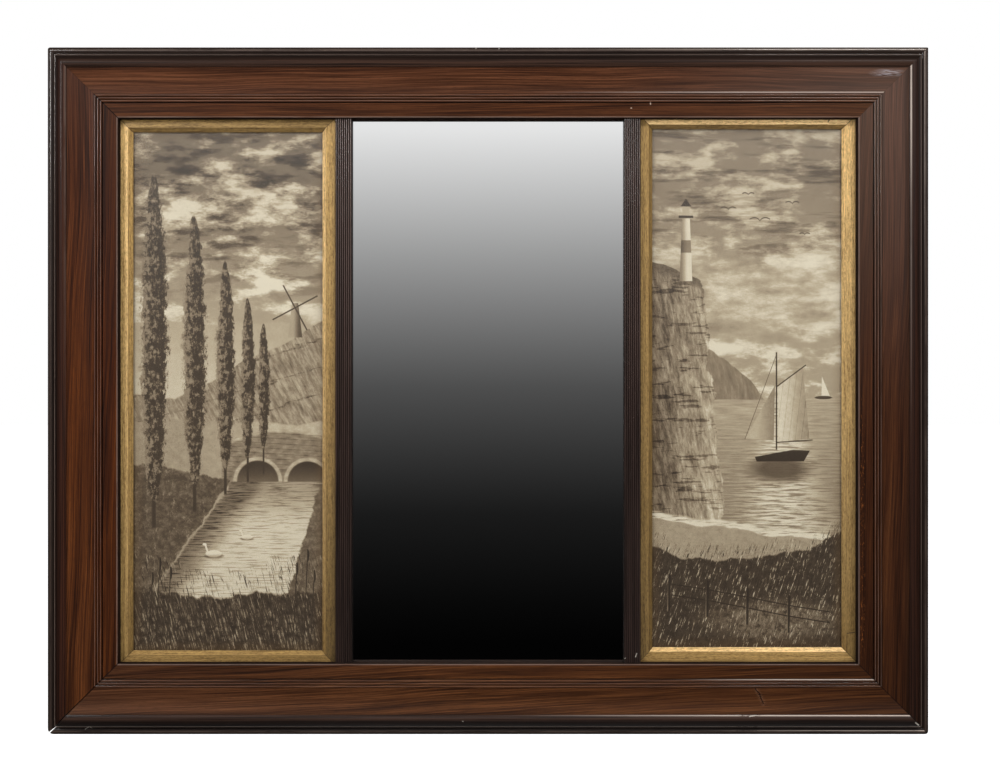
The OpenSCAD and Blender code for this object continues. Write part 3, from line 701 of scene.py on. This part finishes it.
def gilt_finish(name, picture, side, seed):
    finish = new_finish(name)
    x, y, z = finish.axes()
    low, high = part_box(name)
    from_left, from_right, from_foot, from_head = x - low.x, high.x - x, z - low.z, high.z - z
    if side in ("top", "bottom"):
        across = from_head if side == "top" else from_foot
        along, length, ends = x, high.x - low.x, (from_left, from_right)
    else:
        across = from_left if (picture, side) in (("left", "outer"), ("right", "inner")) else from_right
        along, length, ends = z, high.z - low.z, (from_foot, from_head)
    place = finish.place(along, across, y)
    streak = finish.noise(place, (0.05, 0.0012, 0.003), seed, 3, 0.65)
    speck = finish.noise(place, (0.0050, 0.0014, 0.003), seed + 2, 3, 0.7)
    rub = finish.noise(place, (0.03, 0.004, 0.006), seed + 4, 4, 0.7)
    pores = finish.noise(place, (0.005, 0.0005, 0.0006), seed + 6, 2)
    way = ends[0] / length
    piece = f"{picture}_{side}"
    # The leaf's painted brightness from one end of the length to the other, with its painted highlights and
    # shade
    flat, bevel = [finish.over(way, leaf(levels[0]), leaf(levels[1])) for levels in leaf_light_levels[piece]]
    edge = slip_w - bevel_w
    finish.colour = finish.over(across.rise(edge - 0.0003, edge + 0.0003), flat, bevel)
    tone = 0.5 * streak + 0.5 * speck
    finish.tint(finish.ramp(tone, *leaf_streaks))
    last_level = leaf_light_levels[piece][0][1]
    thin = 0.5 - 0.35 * (last_level / 255) ** 4
    finish.lay(rub.rise(0.52, 0.74) * thin, leaf_thin)
    finish.lay(pores.rise(0.6, 0.7) * 0.4, leaf_bare)
    # Dark specks along the line between flat and bevel, and along the outer edge under the frame's lip, where
    # they also stand for painted shade
    dirt = across.near(edge, 0.0007).most(across.fall(0.0045, 0.0062))
    finish.lay(dirt * speck.rise(0.4, 0.6) * thin, leaf_bare)
    mitre = abs(across - ends[0]).least(abs(across - ends[1])).fall(0.0002, 0.0008)
    finish.lay(mitre * 0.7, leaf_bare)
    for mark in slip_marks.get(piece, ()):
        finish.lay(scratch(x, z, *mark) * 0.85, leaf_bare)
    return finish.surface({"Metallic": leaf_metal.get(piece, usual_metal), "Roughness": 0.38 + 0.2 * rub,
                           "Specular IOR Level": 0.35}, 0.5 * tone - pores, 0.0001)


for picture, seed in (("left", 105), ("right", 106)):
    for index, side in enumerate(("top", "bottom", "outer", "inner")):
        node_name = f"{picture}_slip_{side}"
        dress(gilt_finish(node_name, picture, side, seed=seed + 9.3 * index), node_name)

# ----------------------------------------------------------------------
# The picture glass. Thin clear sheet, held down by the slip. It lets the picture through and gives back
# a little of the room.
glass_glint = 0.035
glass_clear = (0.985, 0.99, 0.985, 1.0)


def glass_finish():
    finish = new_finish("picture_glass")
    slant = finish.node("ShaderNodeLayerWeight", (), {"Blend": 0.5}, "Facing")
    rim = glass_glint + (1 - glass_glint) * slant ** 5
    clear = finish.node("ShaderNodeBsdfTransparent", (), {"Color": glass_clear})
    smears = finish.noise(finish.here(), (0.05, 0.05, 0.02), 7, 4, 0.6)
    shine = finish.node("ShaderNodeBsdfPrincipled", (), {"Base Color": (1, 1, 1, 1), "Metallic": 1.0,
                                                         "Roughness": 0.02 + 0.05 * smears})
    both = finish.node("ShaderNodeMixShader", (), {0: rim, 1: clear, 2: shine})
    finish.node("ShaderNodeOutputMaterial", (), {0: both})
    return finish.owner


dress(glass_finish(), "left_glass", "right_glass")

# ----------------------------------------------------------------------
# The two prints. Sepia views of no real place, printed on thin paper: on the left a river with poplars
# and a stone bridge, on the right a coast with a lighthouse and a fishing boat. Lengths in the views are
# centimetres from the lower left corner of what the slip leaves to be seen. Tones go from 0 to 1.
sepia = ((0.0, seen(54, 44, 35)), (0.25, seen(92, 77, 61)), (0.5, seen(138, 121, 100)),
         (0.75, seen(181, 165, 140)), (1.0, seen(218, 207, 186)))
paper_yellow = seen(112, 84, 52)
fox_brown = seen(126, 92, 54)
# Middle, foot, top and half width of each poplar
poplars = ((2.4, 17.5, 57.5, 2.1), (7.3, 19.5, 52.5, 1.8), (11.0, 21.5, 47.0, 1.45), (13.7, 23.0, 42.5, 1.15),
           (15.6, 24.0, 39.4, 0.9))
water_line = 20.3
# Middle and radius of the bridge's arches, and middle of its roadway
arches = ((14.9, 2.5), (20.9, 2.4))
bridge_middle = 17.9
mill_hub = (19.4, 41.2)
mill_sail = 3.0
mill_turn = 28
# Place and height of each bulrush and fence post, and place, height and size of each swan and gull
bulrushes = ((2.2, 8.6), (3.1, 10.4), (4.4, 9.3), (19.6, 9.8), (20.9, 11.4), (21.7, 8.9))
swans = ((9.6, 11.6, 1.0), (13.6, 13.6, 0.7))
gulls = ((9.2, 52.6, 0.9), (11.6, 54.4, 0.7), (13.0, 51.2, 1.2), (16.9, 53.3, 0.8), (18.4, 49.6, 0.6))
fence_posts = ((2.0, 7.6), (6.6, 6.9), (11.4, 6.0), (16.4, 5.0))
fence_end = (21.4, 4.2)
sea_line = 30.0
far_sails = ((10.9, 1.0), (20.4, 1.3))
mast = 15.0
lighthouse = 4.1


class Drawing:
    """A picture worked out point by point: a and b are centimetres across and up it."""

    def __init__(self, name, picture, seed):
        self.finish = new_finish(name)
        self.seed = seed
        self.tone = None
        low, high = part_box(f"{picture}_slip_bottom")[0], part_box(f"{picture}_slip_top")[1]
        x, _, z = self.finish.axes()
        self.a = (x - (low.x + slip_w)) * 100
        self.b = (z - (low.z + slip_w)) * 100
        self.width = (high.x - low.x - 2 * slip_w) * 100
        self.height = (high.z - low.z - 2 * slip_w) * 100
        self.point = self.finish.place(self.a, self.b, 0.0)

    def lay(self, mask, tone):
        """Lays a tone over the picture so far, where mask is 1."""
        self.tone = self.finish.node("ShaderNodeMix", {"data_type": "FLOAT"},
                                     {0: mask, 2: self.tone, 3: tone})

    def noise(self, across, up, detail=3.0, rough=0.6, slant=0.0):
        """New noise on each call, in lumps so many centimetres across and up, leaning by slant."""
        self.seed += 3.7
        point = self.finish.place(self.a + slant * self.b, self.b, 0.0) if slant else self.point
        return self.finish.noise(point, (across, up, 1.0), self.seed, detail, rough)

    def line(self, height, swing, length):
        """A height that wanders by swing over about length centimetres."""
        self.seed += 3.7
        along = self.finish.place(self.a, 0.0, 0.0)
        return height + 2 * swing * (self.finish.noise(along, (length, 1.0, 1.0), self.seed, 4, 0.55) - 0.5)

    def below(self, line, soft=0.12):
        return (line - self.b).rise(0, soft)

    def polygon(self, corners, soft=0.06):
        """1 inside corners, which go round a convex shape against the clock."""
        inside = None
        for (from_a, from_b), (to_a, to_b) in zip(corners, corners[1:] + corners[:1]):
            reach = math.hypot(to_a - from_a, to_b - from_b)
            across, up = (from_b - to_b) / reach, (to_a - from_a) / reach
            side = across * self.a + up * self.b - (across * from_a + up * from_b)
            inside = side if inside is None else inside.least(side)
        return inside.rise(0, soft)

    def block(self, middle, foot, top, half_foot, half_top):
        """1 inside an upright block, whose half width changes from its foot to its top."""
        return self.polygon([(middle - half_foot, foot), (middle + half_foot, foot),
                             (middle + half_top, top), (middle - half_top, top)])

    def oval(self, middle_a, middle_b, half_w, half_h, soft=0.12):
        far = (((self.a - middle_a) / half_w) ** 2 + ((self.b - middle_b) / half_h) ** 2) ** 0.5
        return far.fall(1 - soft, 1 + soft)

    def stroke(self, from_a, from_b, to_a, to_b, wide):
        return scratch(self.a, self.b, from_a, from_b, to_a, to_b, wide)

    def material(self):
        """Prints the tones in sepia on paper, with its grain, yellowed edge and a few fox marks."""
        finish = self.finish
        tooth = finish.noise(self.point, (0.07, 0.07, 1.0), 5, 3, 0.7)
        blotch = finish.noise(self.point, (1.6, 1.6, 1.0), 8, 3)
        fox = finish.noise(self.point, (0.45, 0.45, 1.0), 31, 2, 0.5)
        ink = 0.5 + 1.22 * (self.tone - 0.5) + 0.30 * (tooth - 0.5) + 0.08 * (blotch - 0.5)
        finish.colour = finish.ramp(ink, *sepia)
        edge = self.a.least(self.width - self.a).least(self.b).least(self.height - self.b)
        finish.lay(edge.fall(0.0, 1.4) * 0.22, paper_yellow)
        finish.lay(fox.rise(0.76, 0.82) * 0.35, fox_brown)
        return finish.surface({"Roughness": 0.7 + 0.1 * tooth, "Specular IOR Level": 0.2}, tooth, 0.00003)


def river_view():
    art = Drawing("left_view", "left", seed=200)
    a, b = art.a, art.b
    leaves = art.noise(0.34, 0.8, 5, 0.72)
    clumps = art.noise(0.9, 0.9, 5, 0.7)
    blades = art.noise(0.11, 1.5, 3, 0.6, 0.25)
    ripples = art.noise(2.6, 0.16, 4, 0.6)

    # The sky
    clouds = art.noise(7.0, 3.2, 7, 0.66)
    sky = 0.39 + 0.30 * b.fall(34, 60)
    streaks = art.noise(5.0, 1.6, 4, 0.6).rise(0.46, 0.66) * b.rise(38, 50)
    art.tone = sky + 0.42 * clouds.rise(0.46, 0.62) * b.rise(36, 44) - 0.26 * streaks

    # Far hills, fields with hedges, the mill on its hill, and the meadow
    far = art.below(art.line(39.5, 2.2, 9.0), 0.3)
    art.lay(far, 0.64 + 0.10 * clumps + 0.10 * b.fall(31, 39))
    near_hill = art.below(art.line(30.5, 1.2, 6.0) + 0.52 * (a - 5).most(0), 0.25)
    fields = art.noise(4.2, 0.7, 4, 0.6, -0.6)
    rows = ((b - 0.30 * a + 1.6 * fields) / 3.3).part()
    hedges = abs(rows - 0.5).fall(0.0, 0.05) * clumps.rise(0.42, 0.56)
    slopes = art.noise(0.5, 2.2, 4, 0.65, 0.5)
    art.lay(near_hill, 0.56 + 0.9 * (slopes - 0.5) - 0.26 * hedges + 0.35 * (clumps - 0.5))
    mill = art.block(mill_hub[0], 37.6, 41.8, 0.9, 0.4)
    art.lay(mill, 0.30 + 0.35 * (mill_hub[0] + 0.2 - a).rise(-0.4, 0.5))
    for quarter in range(4):
        lean = math.radians(mill_turn + 90 * quarter)
        tip = (mill_hub[0] + mill_sail * math.cos(lean), mill_hub[1] + mill_sail * math.sin(lean))
        art.lay(art.stroke(*mill_hub, *tip, 0.13), 0.22)
    meadow = art.below(art.line(27.5, 0.9, 5.0), 0.3)
    art.lay(meadow, 0.59 + 0.3 * (clumps - 0.5) + 0.15 * a.rise(4, 20))

    # The bridge, highest in its middle, and its arches
    wall_top = 26.6 - 0.035 * (a - bridge_middle) ** 2
    stone_rows = ((b + 0.06 * (a - bridge_middle)) / 0.62).part()
    stones = art.noise(0.9, 0.5, 2, 0.5)
    bridge = art.below(wall_top, 0.1) * a.rise(10.4, 10.8) * b.rise(19.6, 19.9)
    masonry = 0.50 + 0.42 * (stones - 0.5) - 0.16 * abs(stone_rows - 0.5).rise(0.40, 0.5)
    art.lay(bridge, masonry + 0.2 * (wall_top - b).fall(0.2, 0.6))
    for middle, radius in arches:
        ring = art.oval(middle, water_line, radius + 0.45, radius + 0.45, 0.04)
        art.lay(ring * b.rise(water_line - 0.1, water_line), 0.70 + 0.4 * (stones - 0.5))
        art.lay(art.oval(middle, water_line, radius, radius, 0.05), 0.16 + 0.2 * b.fall(20, 22.6))

    # The river between its banks, darker where poplars and bridge shade it
    bank = 11.8 - 0.72 * (water_line - b).most(0) + 1.6 * (art.noise(1.5, 1.5, 3) - 0.5)
    far_bank = 22.4 - 0.3 * (water_line - b) + 1.2 * (art.noise(1.3, 1.3, 3) - 0.5)
    river = (a - bank).rise(0, 0.4) * art.below(water_line, 0.1)
    shadow = (a - bank).fall(0.5, 5.5) + 0.55 * b.rise(14.5, 20.0)
    water = 0.86 - 0.62 * shadow.least(1.0) * (0.55 + 0.9 * (ripples - 0.3)) - 0.22 * ripples.rise(0.5, 0.62)
    art.lay(river, water)
    left_bank = (bank - a).rise(0, 0.3) * art.below(art.line(22.8, 1.3, 2.4) - 0.16 * a, 0.3)
    art.lay(left_bank, 0.24 + 0.75 * (clumps - 0.42).most(0) + 0.22 * leaves.rise(0.55, 0.7))
    right_bank = (a - far_bank).rise(0, 0.3) * art.below(water_line - 0.5, 0.2)
    art.lay(right_bank, 0.30 + 0.7 * (clumps - 0.42).most(0))

    # The poplars, the farthest first
    for middle, foot, top, spread in reversed(poplars):
        rising = (b - foot) / (top - foot)
        climb = rising.most(0.001).least(0.999)
        half = climb ** 0.55 * (1 - climb) ** 0.6 * (1.85 * spread)
        leaning = a - middle - 0.25 * spread * (art.noise(8.0, 5.0, 2) - 0.5) * 2
        inside = 1 - abs(leaning) / half + 1.9 * (leaves - 0.5)
        lit = (leaves + 0.9 * (clumps - 0.5) - 0.16 * leaning / spread).rise(0.44, 0.66)
        stem = abs(a - middle).fall(0.05 * spread, 0.16 * spread)
        art.lay(stem * b.rise(foot - 3, foot - 2.6) * b.fall(foot + 5, foot + 9), 0.16)
        crown = inside.rise(0.0, 0.28) * rising.rise(0.0, 0.02) * rising.fall(0.98, 1.0)
        art.lay(crown * 0.96, 0.14 + 0.38 * lit)

    # Swans, each over its shadow and its pale reflection
    for middle, height, size in swans:
        body = art.oval(middle, height, size, 0.42 * size)
        neck = art.stroke(middle - 0.7 * size, height + 0.1, middle - size, height + 1.05 * size, 0.16 * size)
        head = art.oval(middle - 1.1 * size, height + 1.12 * size, 0.24 * size, 0.15 * size)
        glow = art.oval(middle, height - 0.75 * size, 0.8 * size, 0.3 * size, 0.5)
        art.lay(art.oval(middle, height - 0.32 * size, 1.1 * size, 0.3 * size, 0.3) * 0.6, 0.2)
        art.lay(glow * 0.4, 0.85)
        art.lay(body.most(neck).most(head), 0.93 - 0.25 * (height - b).rise(-0.1, 0.4))

    # Grass and bulrushes on the near bank
    shore = art.below(art.line(6.4, 1.7, 3.2) + 0.10 * abs(a - 11.0), 0.4)
    grass = 0.6 * blades.rise(0.45, 0.72) * clumps.rise(0.34, 0.58)
    art.lay(shore, 0.14 + grass + 0.3 * (clumps - 0.5))
    tall = art.below(art.line(9.6, 2.4, 1.1) + 0.24 * abs(a - 11.0), 0.5) * blades.rise(0.55, 0.63)
    art.lay(tall * b.rise(4.0, 6.0), 0.12 + 0.5 * art.noise(0.2, 1.6, 2, 0.5, 0.2).rise(0.5, 0.6))
    for place, top in bulrushes:
        art.lay(art.stroke(place - 0.5, 0.0, place, top, 0.09), 0.13)
        art.lay(art.oval(place + 0.03, top, 0.17, 0.75), 0.1 + 0.3 * (place - a).rise(0, 0.1))
    return art.material()


def coast_view():
    art = Drawing("right_view", "right", seed=400)
    a, b = art.a, art.b
    rough_rock = art.noise(0.55, 2.4, 5, 0.7, 0.18)
    clumps = art.noise(0.8, 0.8, 5, 0.7)
    blades = art.noise(0.1, 1.3, 3, 0.6, -0.3)
    swell = art.noise(3.0, 0.22, 4, 0.62)

    # The sky and its gulls
    clouds = art.noise(6.0, 2.6, 7, 0.64)
    bank_of_cloud = art.below(art.line(47.5, 3.4, 6.0), 2.2)
    art.tone = 0.47 + 0.16 * b.fall(36, 62) + 0.28 * clouds.rise(0.46, 0.62)
    art.lay(bank_of_cloud * b.rise(35, 40) * 0.85, 0.74 + 1.3 * (clouds - 0.5))
    art.tone = art.tone - 0.20 * art.noise(9.0, 1.2, 4, 0.6).rise(0.5, 0.66) * b.rise(44, 50)
    for place, height, size in gulls:
        wing = abs(a - place)
        arc = height + 0.75 * size * (wing / size) ** 0.55 - 0.5 * (wing / size) ** 2 * size
        art.lay(abs(b - arc).fall(0.02, 0.11) * wing.fall(size, 1.05 * size), 0.24)

    # The sea, with a path of light on it and two far sails
    sea = art.below(sea_line, 0.1)
    glitter = (a - 16.0 + 3.0 * (swell - 0.5)) / (1.2 + 0.16 * (sea_line - b).most(0))
    glint = 0.30 * abs(glitter).fall(0.3, 2.2) * swell.rise(0.4, 0.55)
    art.lay(sea, 0.56 + 0.10 * b.rise(18, 30) + 0.5 * (swell - 0.5) + glint)
    for place, size in far_sails:
        foot, top = sea_line + 0.2, sea_line + 0.2 + 1.9 * size
        sail = art.polygon([(place, foot), (place + 0.8 * size, foot), (place + 0.05, top)], 0.05)
        art.lay(sail, 0.97)
        art.lay(art.oval(place + 0.25, sea_line, 0.8 * size, 0.2), 0.2)

    # A low headland, then the cliff with turf on it and the lighthouse
    low_head = art.below(art.line(37.2, 0.8, 2.5) - 0.055 * (a - 2) ** 2 * a.rise(2, 6), 0.15)
    art.lay(low_head * b.rise(29.6, 29.9), 0.50 + 0.5 * (rough_rock - 0.5))
    face = 8.4 - 0.10 * (b - 21.0) + 3.4 * (art.noise(20.0, 3.4, 4, 0.6) - 0.5)
    crown = art.line(46.4, 0.5, 2.5) - 0.22 * a - 0.03 * a ** 2
    cliff = (face - a).rise(0, 0.15) * art.below(crown, 0.15)
    lit = 0.34 + 0.36 * (a / 7.5).least(1.0) + 1.3 * (rough_rock - 0.5)
    ledges = art.noise(3.0, 0.5, 3, 0.6, -0.2).rise(0.56, 0.62)
    art.lay(cliff, lit - 0.22 * ledges)
    turf = (crown - b).fall(0.5, 1.6) * cliff
    art.lay(turf, 0.30 + 0.5 * (clumps - 0.4).most(0))
    tower = art.block(lighthouse, 44.0, 51.6, 0.8, 0.5)
    sunny = a.rise(lighthouse - 0.7, lighthouse + 0.3)
    art.lay(tower, 0.48 + 0.40 * sunny)
    art.lay(tower * abs(b - 48.2).fall(0.7, 0.8), 0.30 + 0.2 * sunny)
    art.lay(art.block(lighthouse, 51.6, 51.95, 0.9, 0.9), 0.16)
    art.lay(art.block(lighthouse, 51.95, 53.0, 0.45, 0.45), 0.70)
    art.lay(art.polygon([(lighthouse - 0.7, 53.0), (lighthouse + 0.7, 53.0), (lighthouse, 54.0)]), 0.16)

    # The fishing boat over its reflection
    shade = art.oval(15.4, 21.4, 3.4, 1.5, 0.5) * (0.35 + 0.9 * swell)
    art.lay(shade.least(0.85), 0.22)
    hull = art.polygon([(12.6, 22.3), (18.3, 22.3), (19.4, 24.2), (17.0, 23.75), (11.9, 24.0)], 0.05)
    mainsail = art.polygon([(15.15, 24.7), (19.0, 25.0), (18.2, 33.6), (15.15, 31.4)], 0.05)
    foresail = art.polygon([(11.2, 25.1), (14.7, 24.8), (14.85, 31.6)], 0.05)
    seams = abs(((a - 0.12 * b) / 0.75).part() - 0.5).rise(0.43, 0.5)
    cloth = 0.86 - 0.30 * a.rise(15.2, 19.4) - 0.14 * seams + 0.3 * (clumps - 0.5)
    art.lay(mainsail, cloth)
    art.lay(foresail, 0.72 - 0.20 * (14.9 - a).fall(0, 2.5) + 0.2 * (clumps - 0.5))
    art.lay(art.stroke(mast, 23.8, mast, 35.4, 0.13), 0.15)
    for gaff_or_boom in ((31.3, 18.5, 33.9), (24.6, 19.3, 24.9)):
        art.lay(art.stroke(mast, *gaff_or_boom, 0.1), 0.18)
    art.lay(art.stroke(11.2, 25.0, mast, 35.2, 0.05), 0.3)
    art.lay(hull, 0.13 + 0.22 * b.rise(23.4, 24.0))

    # Foam and beach, and the dune with its tufts and fence
    beach = art.line(15.6, 0.9, 6.0) - 0.14 * a
    art.lay(art.below(beach + 0.9, 0.5) * swell.rise(0.36, 0.5), 0.92)
    art.lay(art.below(beach, 0.25), 0.66 + 0.3 * (clumps - 0.5) - 0.1 * swell)
    dune = art.line(12.2, 1.5, 4.0) - 0.30 * a + 0.016 * a ** 2
    tufted = 0.5 * (clumps - 0.45).most(0) + 0.2 * blades.rise(0.5, 0.7)
    art.lay(art.below(dune, 0.3), 0.12 + tufted)
    sand = art.oval(14.8, 3.2, 7.5, 2.3, 0.5) * clumps.rise(0.3, 0.55)
    art.lay(sand * 0.6, 0.62)
    tufts = art.below(dune + 3.6 * art.noise(1.6, 9.0, 2), 0.8)
    stalks = art.noise(0.16, 1.2, 2, 0.5, -0.3).rise(0.5, 0.6)
    art.lay(tufts * blades.rise(0.51, 0.58) * clumps.rise(0.4, 0.56), 0.16 + 0.62 * stalks)
    for (place, height), (next_place, next_height) in zip(fence_posts, fence_posts[1:] + (fence_end,)):
        post = art.stroke(place, height - 3.2, place + 0.15, height + 1.0, 0.26)
        art.lay(post, 0.08 + 0.45 * (place - a).rise(-0.02, 0.12))
        for drop in (0.0, 1.3):
            art.lay(art.stroke(place, height - drop, next_place, next_height - drop, 0.1), 0.1)
    return art.material()


dress(river_view(), "left_print")
dress(coast_view(), "right_print")

# ----------------------------------------------------------------------
# Behind the pictures. A sheet of grey-brown pasteboard backs each print, and a thin pine board closes
# each opening.
card_grey = seen(158, 142, 114)
card_fleck = seen(104, 88, 66)


def card_finish():
    finish = new_finish("pasteboard")
    place = finish.here()
    fibres = finish.noise(place, (0.003, 0.003, 0.001), 5, 4, 0.7)
    stain = finish.noise(place, (0.12, 0.12, 0.12), 9, 3)
    finish.colour = finish.over(fibres.rise(0.55, 0.75) * 0.6, card_grey, card_fleck)
    finish.lay(stain.rise(0.45, 0.75) * 0.4, card_fleck)
    return finish.surface({"Roughness": 0.85, "Specular IOR Level": 0.15}, fibres, 0.0001)


dress(card_finish(), "left_card", "right_card")
dress(pine("backboard_left", upright_grain(0.36), seed=113, grime=0.55), "left_backboard")
dress(pine("backboard_right", upright_grain(-0.25), seed=119, grime=0.5), "right_backboard")

# ----------------------------------------------------------------------
# The brads. Headless iron wire nails hold the boards in. They are driven into the carcass lying flat
# along the boards' backs, and damp has rusted them.
iron_dark = seen(52, 44, 40)
iron_rust = seen(112, 66, 38)


def iron_finish():
    finish = new_finish("rusted_iron")
    rust = finish.noise(finish.here(), (0.003, 0.003, 0.003), 5, 4, 0.7)
    finish.colour = finish.over(rust.rise(0.4, 0.6), iron_dark, iron_rust)
    return finish.surface({"Metallic": rust.fall(0.4, 0.6) * 0.8, "Roughness": 0.45 + 0.4 * rust},
                          rust, 0.0001)


dress(iron_finish(), "left_brads", "mirror_brads", "right_brads")

# ----------------------------------------------------------------------
# The hangers. A brass plate with a rolled knuckle is screwed to each stile, and a drop ring of brass
# wire swings in it. The brass has gone brown, and stays bright where the ring rubs.
brass_bright = seen(196, 158, 88)
brass_brown = seen(104, 78, 44)
brass_dirt = seen(48, 36, 24)


def brass_finish(name, tarnish, grain):
    """Brass, browned as far as tarnish says, with file marks of the three lengths in grain."""
    finish = new_finish(name)
    place = finish.here()
    brushed = finish.noise(place, grain, 3, 3, 0.6)
    stains = finish.noise(place, (0.008, 0.008, 0.008), 7, 4, 0.65)
    browned = (stains + 0.3 * brushed).rise(0.4, 0.8) * tarnish
    finish.colour = finish.over(browned, brass_bright, brass_brown)
    finish.lay(stains.rise(0.62, 0.75) * 0.5, brass_dirt)
    return finish.surface({"Metallic": 1.0, "Roughness": 0.28 + 0.3 * stains}, brushed, 0.00005)


for piece, tarnish, grain in (("hanger_plate", 0.9, (0.0004, 0.003, 0.01)),
                              ("hanger_ring", 0.7, (0.002, 0.002, 0.002)),
                              ("hanger_screws", 0.95, (0.001, 0.001, 0.001))):
    dress(brass_finish(piece, tarnish, grain), f"left_{piece}", f"right_{piece}")

# ----------------------------------------------------------------------
# The room. The mirror stands on a plain white floor before a white ground. What it gives back is a
# plain studio: palest above the eye, black towards the foot of the wall in front, and grey on the floor
# and overhead. Lamps stand beside, above and behind it, out of what the glass gives back to the eye.
fill_level = 0.56
# The studio's greys, where 255 is white paper, by how steeply a line of sight drops or rises to them
studio_greys = ((-0.5, 105), (-0.38, 90), (-0.28, 50), (-0.225, 0), (-0.20, 0), (-0.1, 26), (0.0, 78),
                (0.1, 151), (0.2, 227), (0.30, 262), (0.38, 150), (0.5, 90))
brightest = max(grey for height, grey in studio_greys)
# How much of them is left for lines of sight that run well off to either side
seen_aside = 0.3
floor_reach = 12.0


def room_light():
    finish = Finish(bpy.data.worlds.new("studio"))
    ray = finish.node("ShaderNodeTexCoord", output="Generated")
    aside = abs(finish.node("ShaderNodeSeparateXYZ", (), {0: ray}, 0))
    rise = finish.node("ShaderNodeSeparateXYZ", (), {0: ray}, 2)
    stops = [(0.5 + height, [grey / brightest] * 3 + [1.0]) for height, grey in studio_greys]
    shown = finish.node("ShaderNodeRGBToBW", (), {0: finish.ramp(rise + 0.5, *stops)}) * (brightest / 255)
    linear = ((shown + 0.055) / 1.055) ** 2.4
    studio = linear / silver[0] * aside.fall(0.34, 0.7).most(seen_aside)
    camera_ray = finish.node("ShaderNodeLightPath", output="Is Camera Ray")
    through_ray = finish.node("ShaderNodeLightPath", output="Is Transmission Ray")
    glossy_ray = finish.node("ShaderNodeLightPath", output="Is Glossy Ray")
    unseen = glossy_ray * studio + (1 - glossy_ray) * fill_level
    level = camera_ray.most(through_ray).most(unseen)
    light = finish.node("ShaderNodeBackground", (), {"Color": (1, 1, 1, 1), "Strength": level})
    finish.node("ShaderNodeOutputWorld", (), {0: light})
    return finish.owner


bpy.context.scene.world = room_light()


def lamp(name, place, width, height, power, shines):
    """A soft oblong lamp aimed at the mirror's middle. One that shines is seen in polish and glass."""
    aim = Vector((0, 0, frame_h / 2))
    light = bpy.data.lights.new(name, "AREA")
    light.shape = "RECTANGLE"
    light.size = width
    light.size_y = height
    light.energy = power
    stand = bpy.data.objects.new(name, light)
    stand.location = place
    stand.rotation_euler = (aim - Vector(place)).to_track_quat("-Z", "Y").to_euler()
    stand.visible_glossy = shines
    bpy.context.scene.collection.objects.link(stand)


lamp("strip_over_right", (0.91, -1.5, 1.75), width=0.58, height=0.14, power=12, shines=True)
lamp("strip_left", (-1.15, -1.5, 1.15), width=0.2, height=0.44, power=12, shines=True)
lamp("softbox_right", (1.6, -1.5, 1.3), width=0.7, height=1.2, power=9, shines=False)
lamp("softbox_over", (0, -1.4, 2.4), width=2.4, height=0.8, power=5, shines=False)
lamp("softbox_left", (-1.7, -1.3, 1.8), width=1.0, height=1.0, power=4, shines=False)
lamp("softbox_behind", (-0.8, 1.9, 1.7), width=1.2, height=1.0, power=14, shines=False)


def floor_finish():
    finish = new_finish("white_floor")
    paper = finish.noise(finish.here(), (0.4, 0.4, 0.4), 3, 2)
    lit = finish.node("ShaderNodeBsdfDiffuse", (), {"Color": (0.8, 0.8, 0.8, 1.0),
                                                    "Roughness": 0.4 + 0.1 * paper})
    white = finish.node("ShaderNodeEmission", (), {"Color": (1, 1, 1, 1), "Strength": 1.5})
    camera_ray = finish.node("ShaderNodeLightPath", output="Is Camera Ray")
    both = finish.node("ShaderNodeMixShader", (), {0: 0.62 * camera_ray, 1: lit, 2: white})
    finish.node("ShaderNodeOutputMaterial", (), {0: both})
    return finish.owner


def floor():
    mesh = bpy.data.meshes.new("floor")
    corners = [(across * floor_reach, back * floor_reach, 0)
               for across, back in ((-1, -1), (1, -1), (1, 1), (-1, 1))]
    mesh.from_pydata(corners, [], [(0, 1, 2, 3)])
    mesh.materials.append(floor_finish())
    ground = bpy.data.objects.new("floor", mesh)
    ground.visible_glossy = False
    bpy.context.scene.collection.objects.link(ground)


floor()
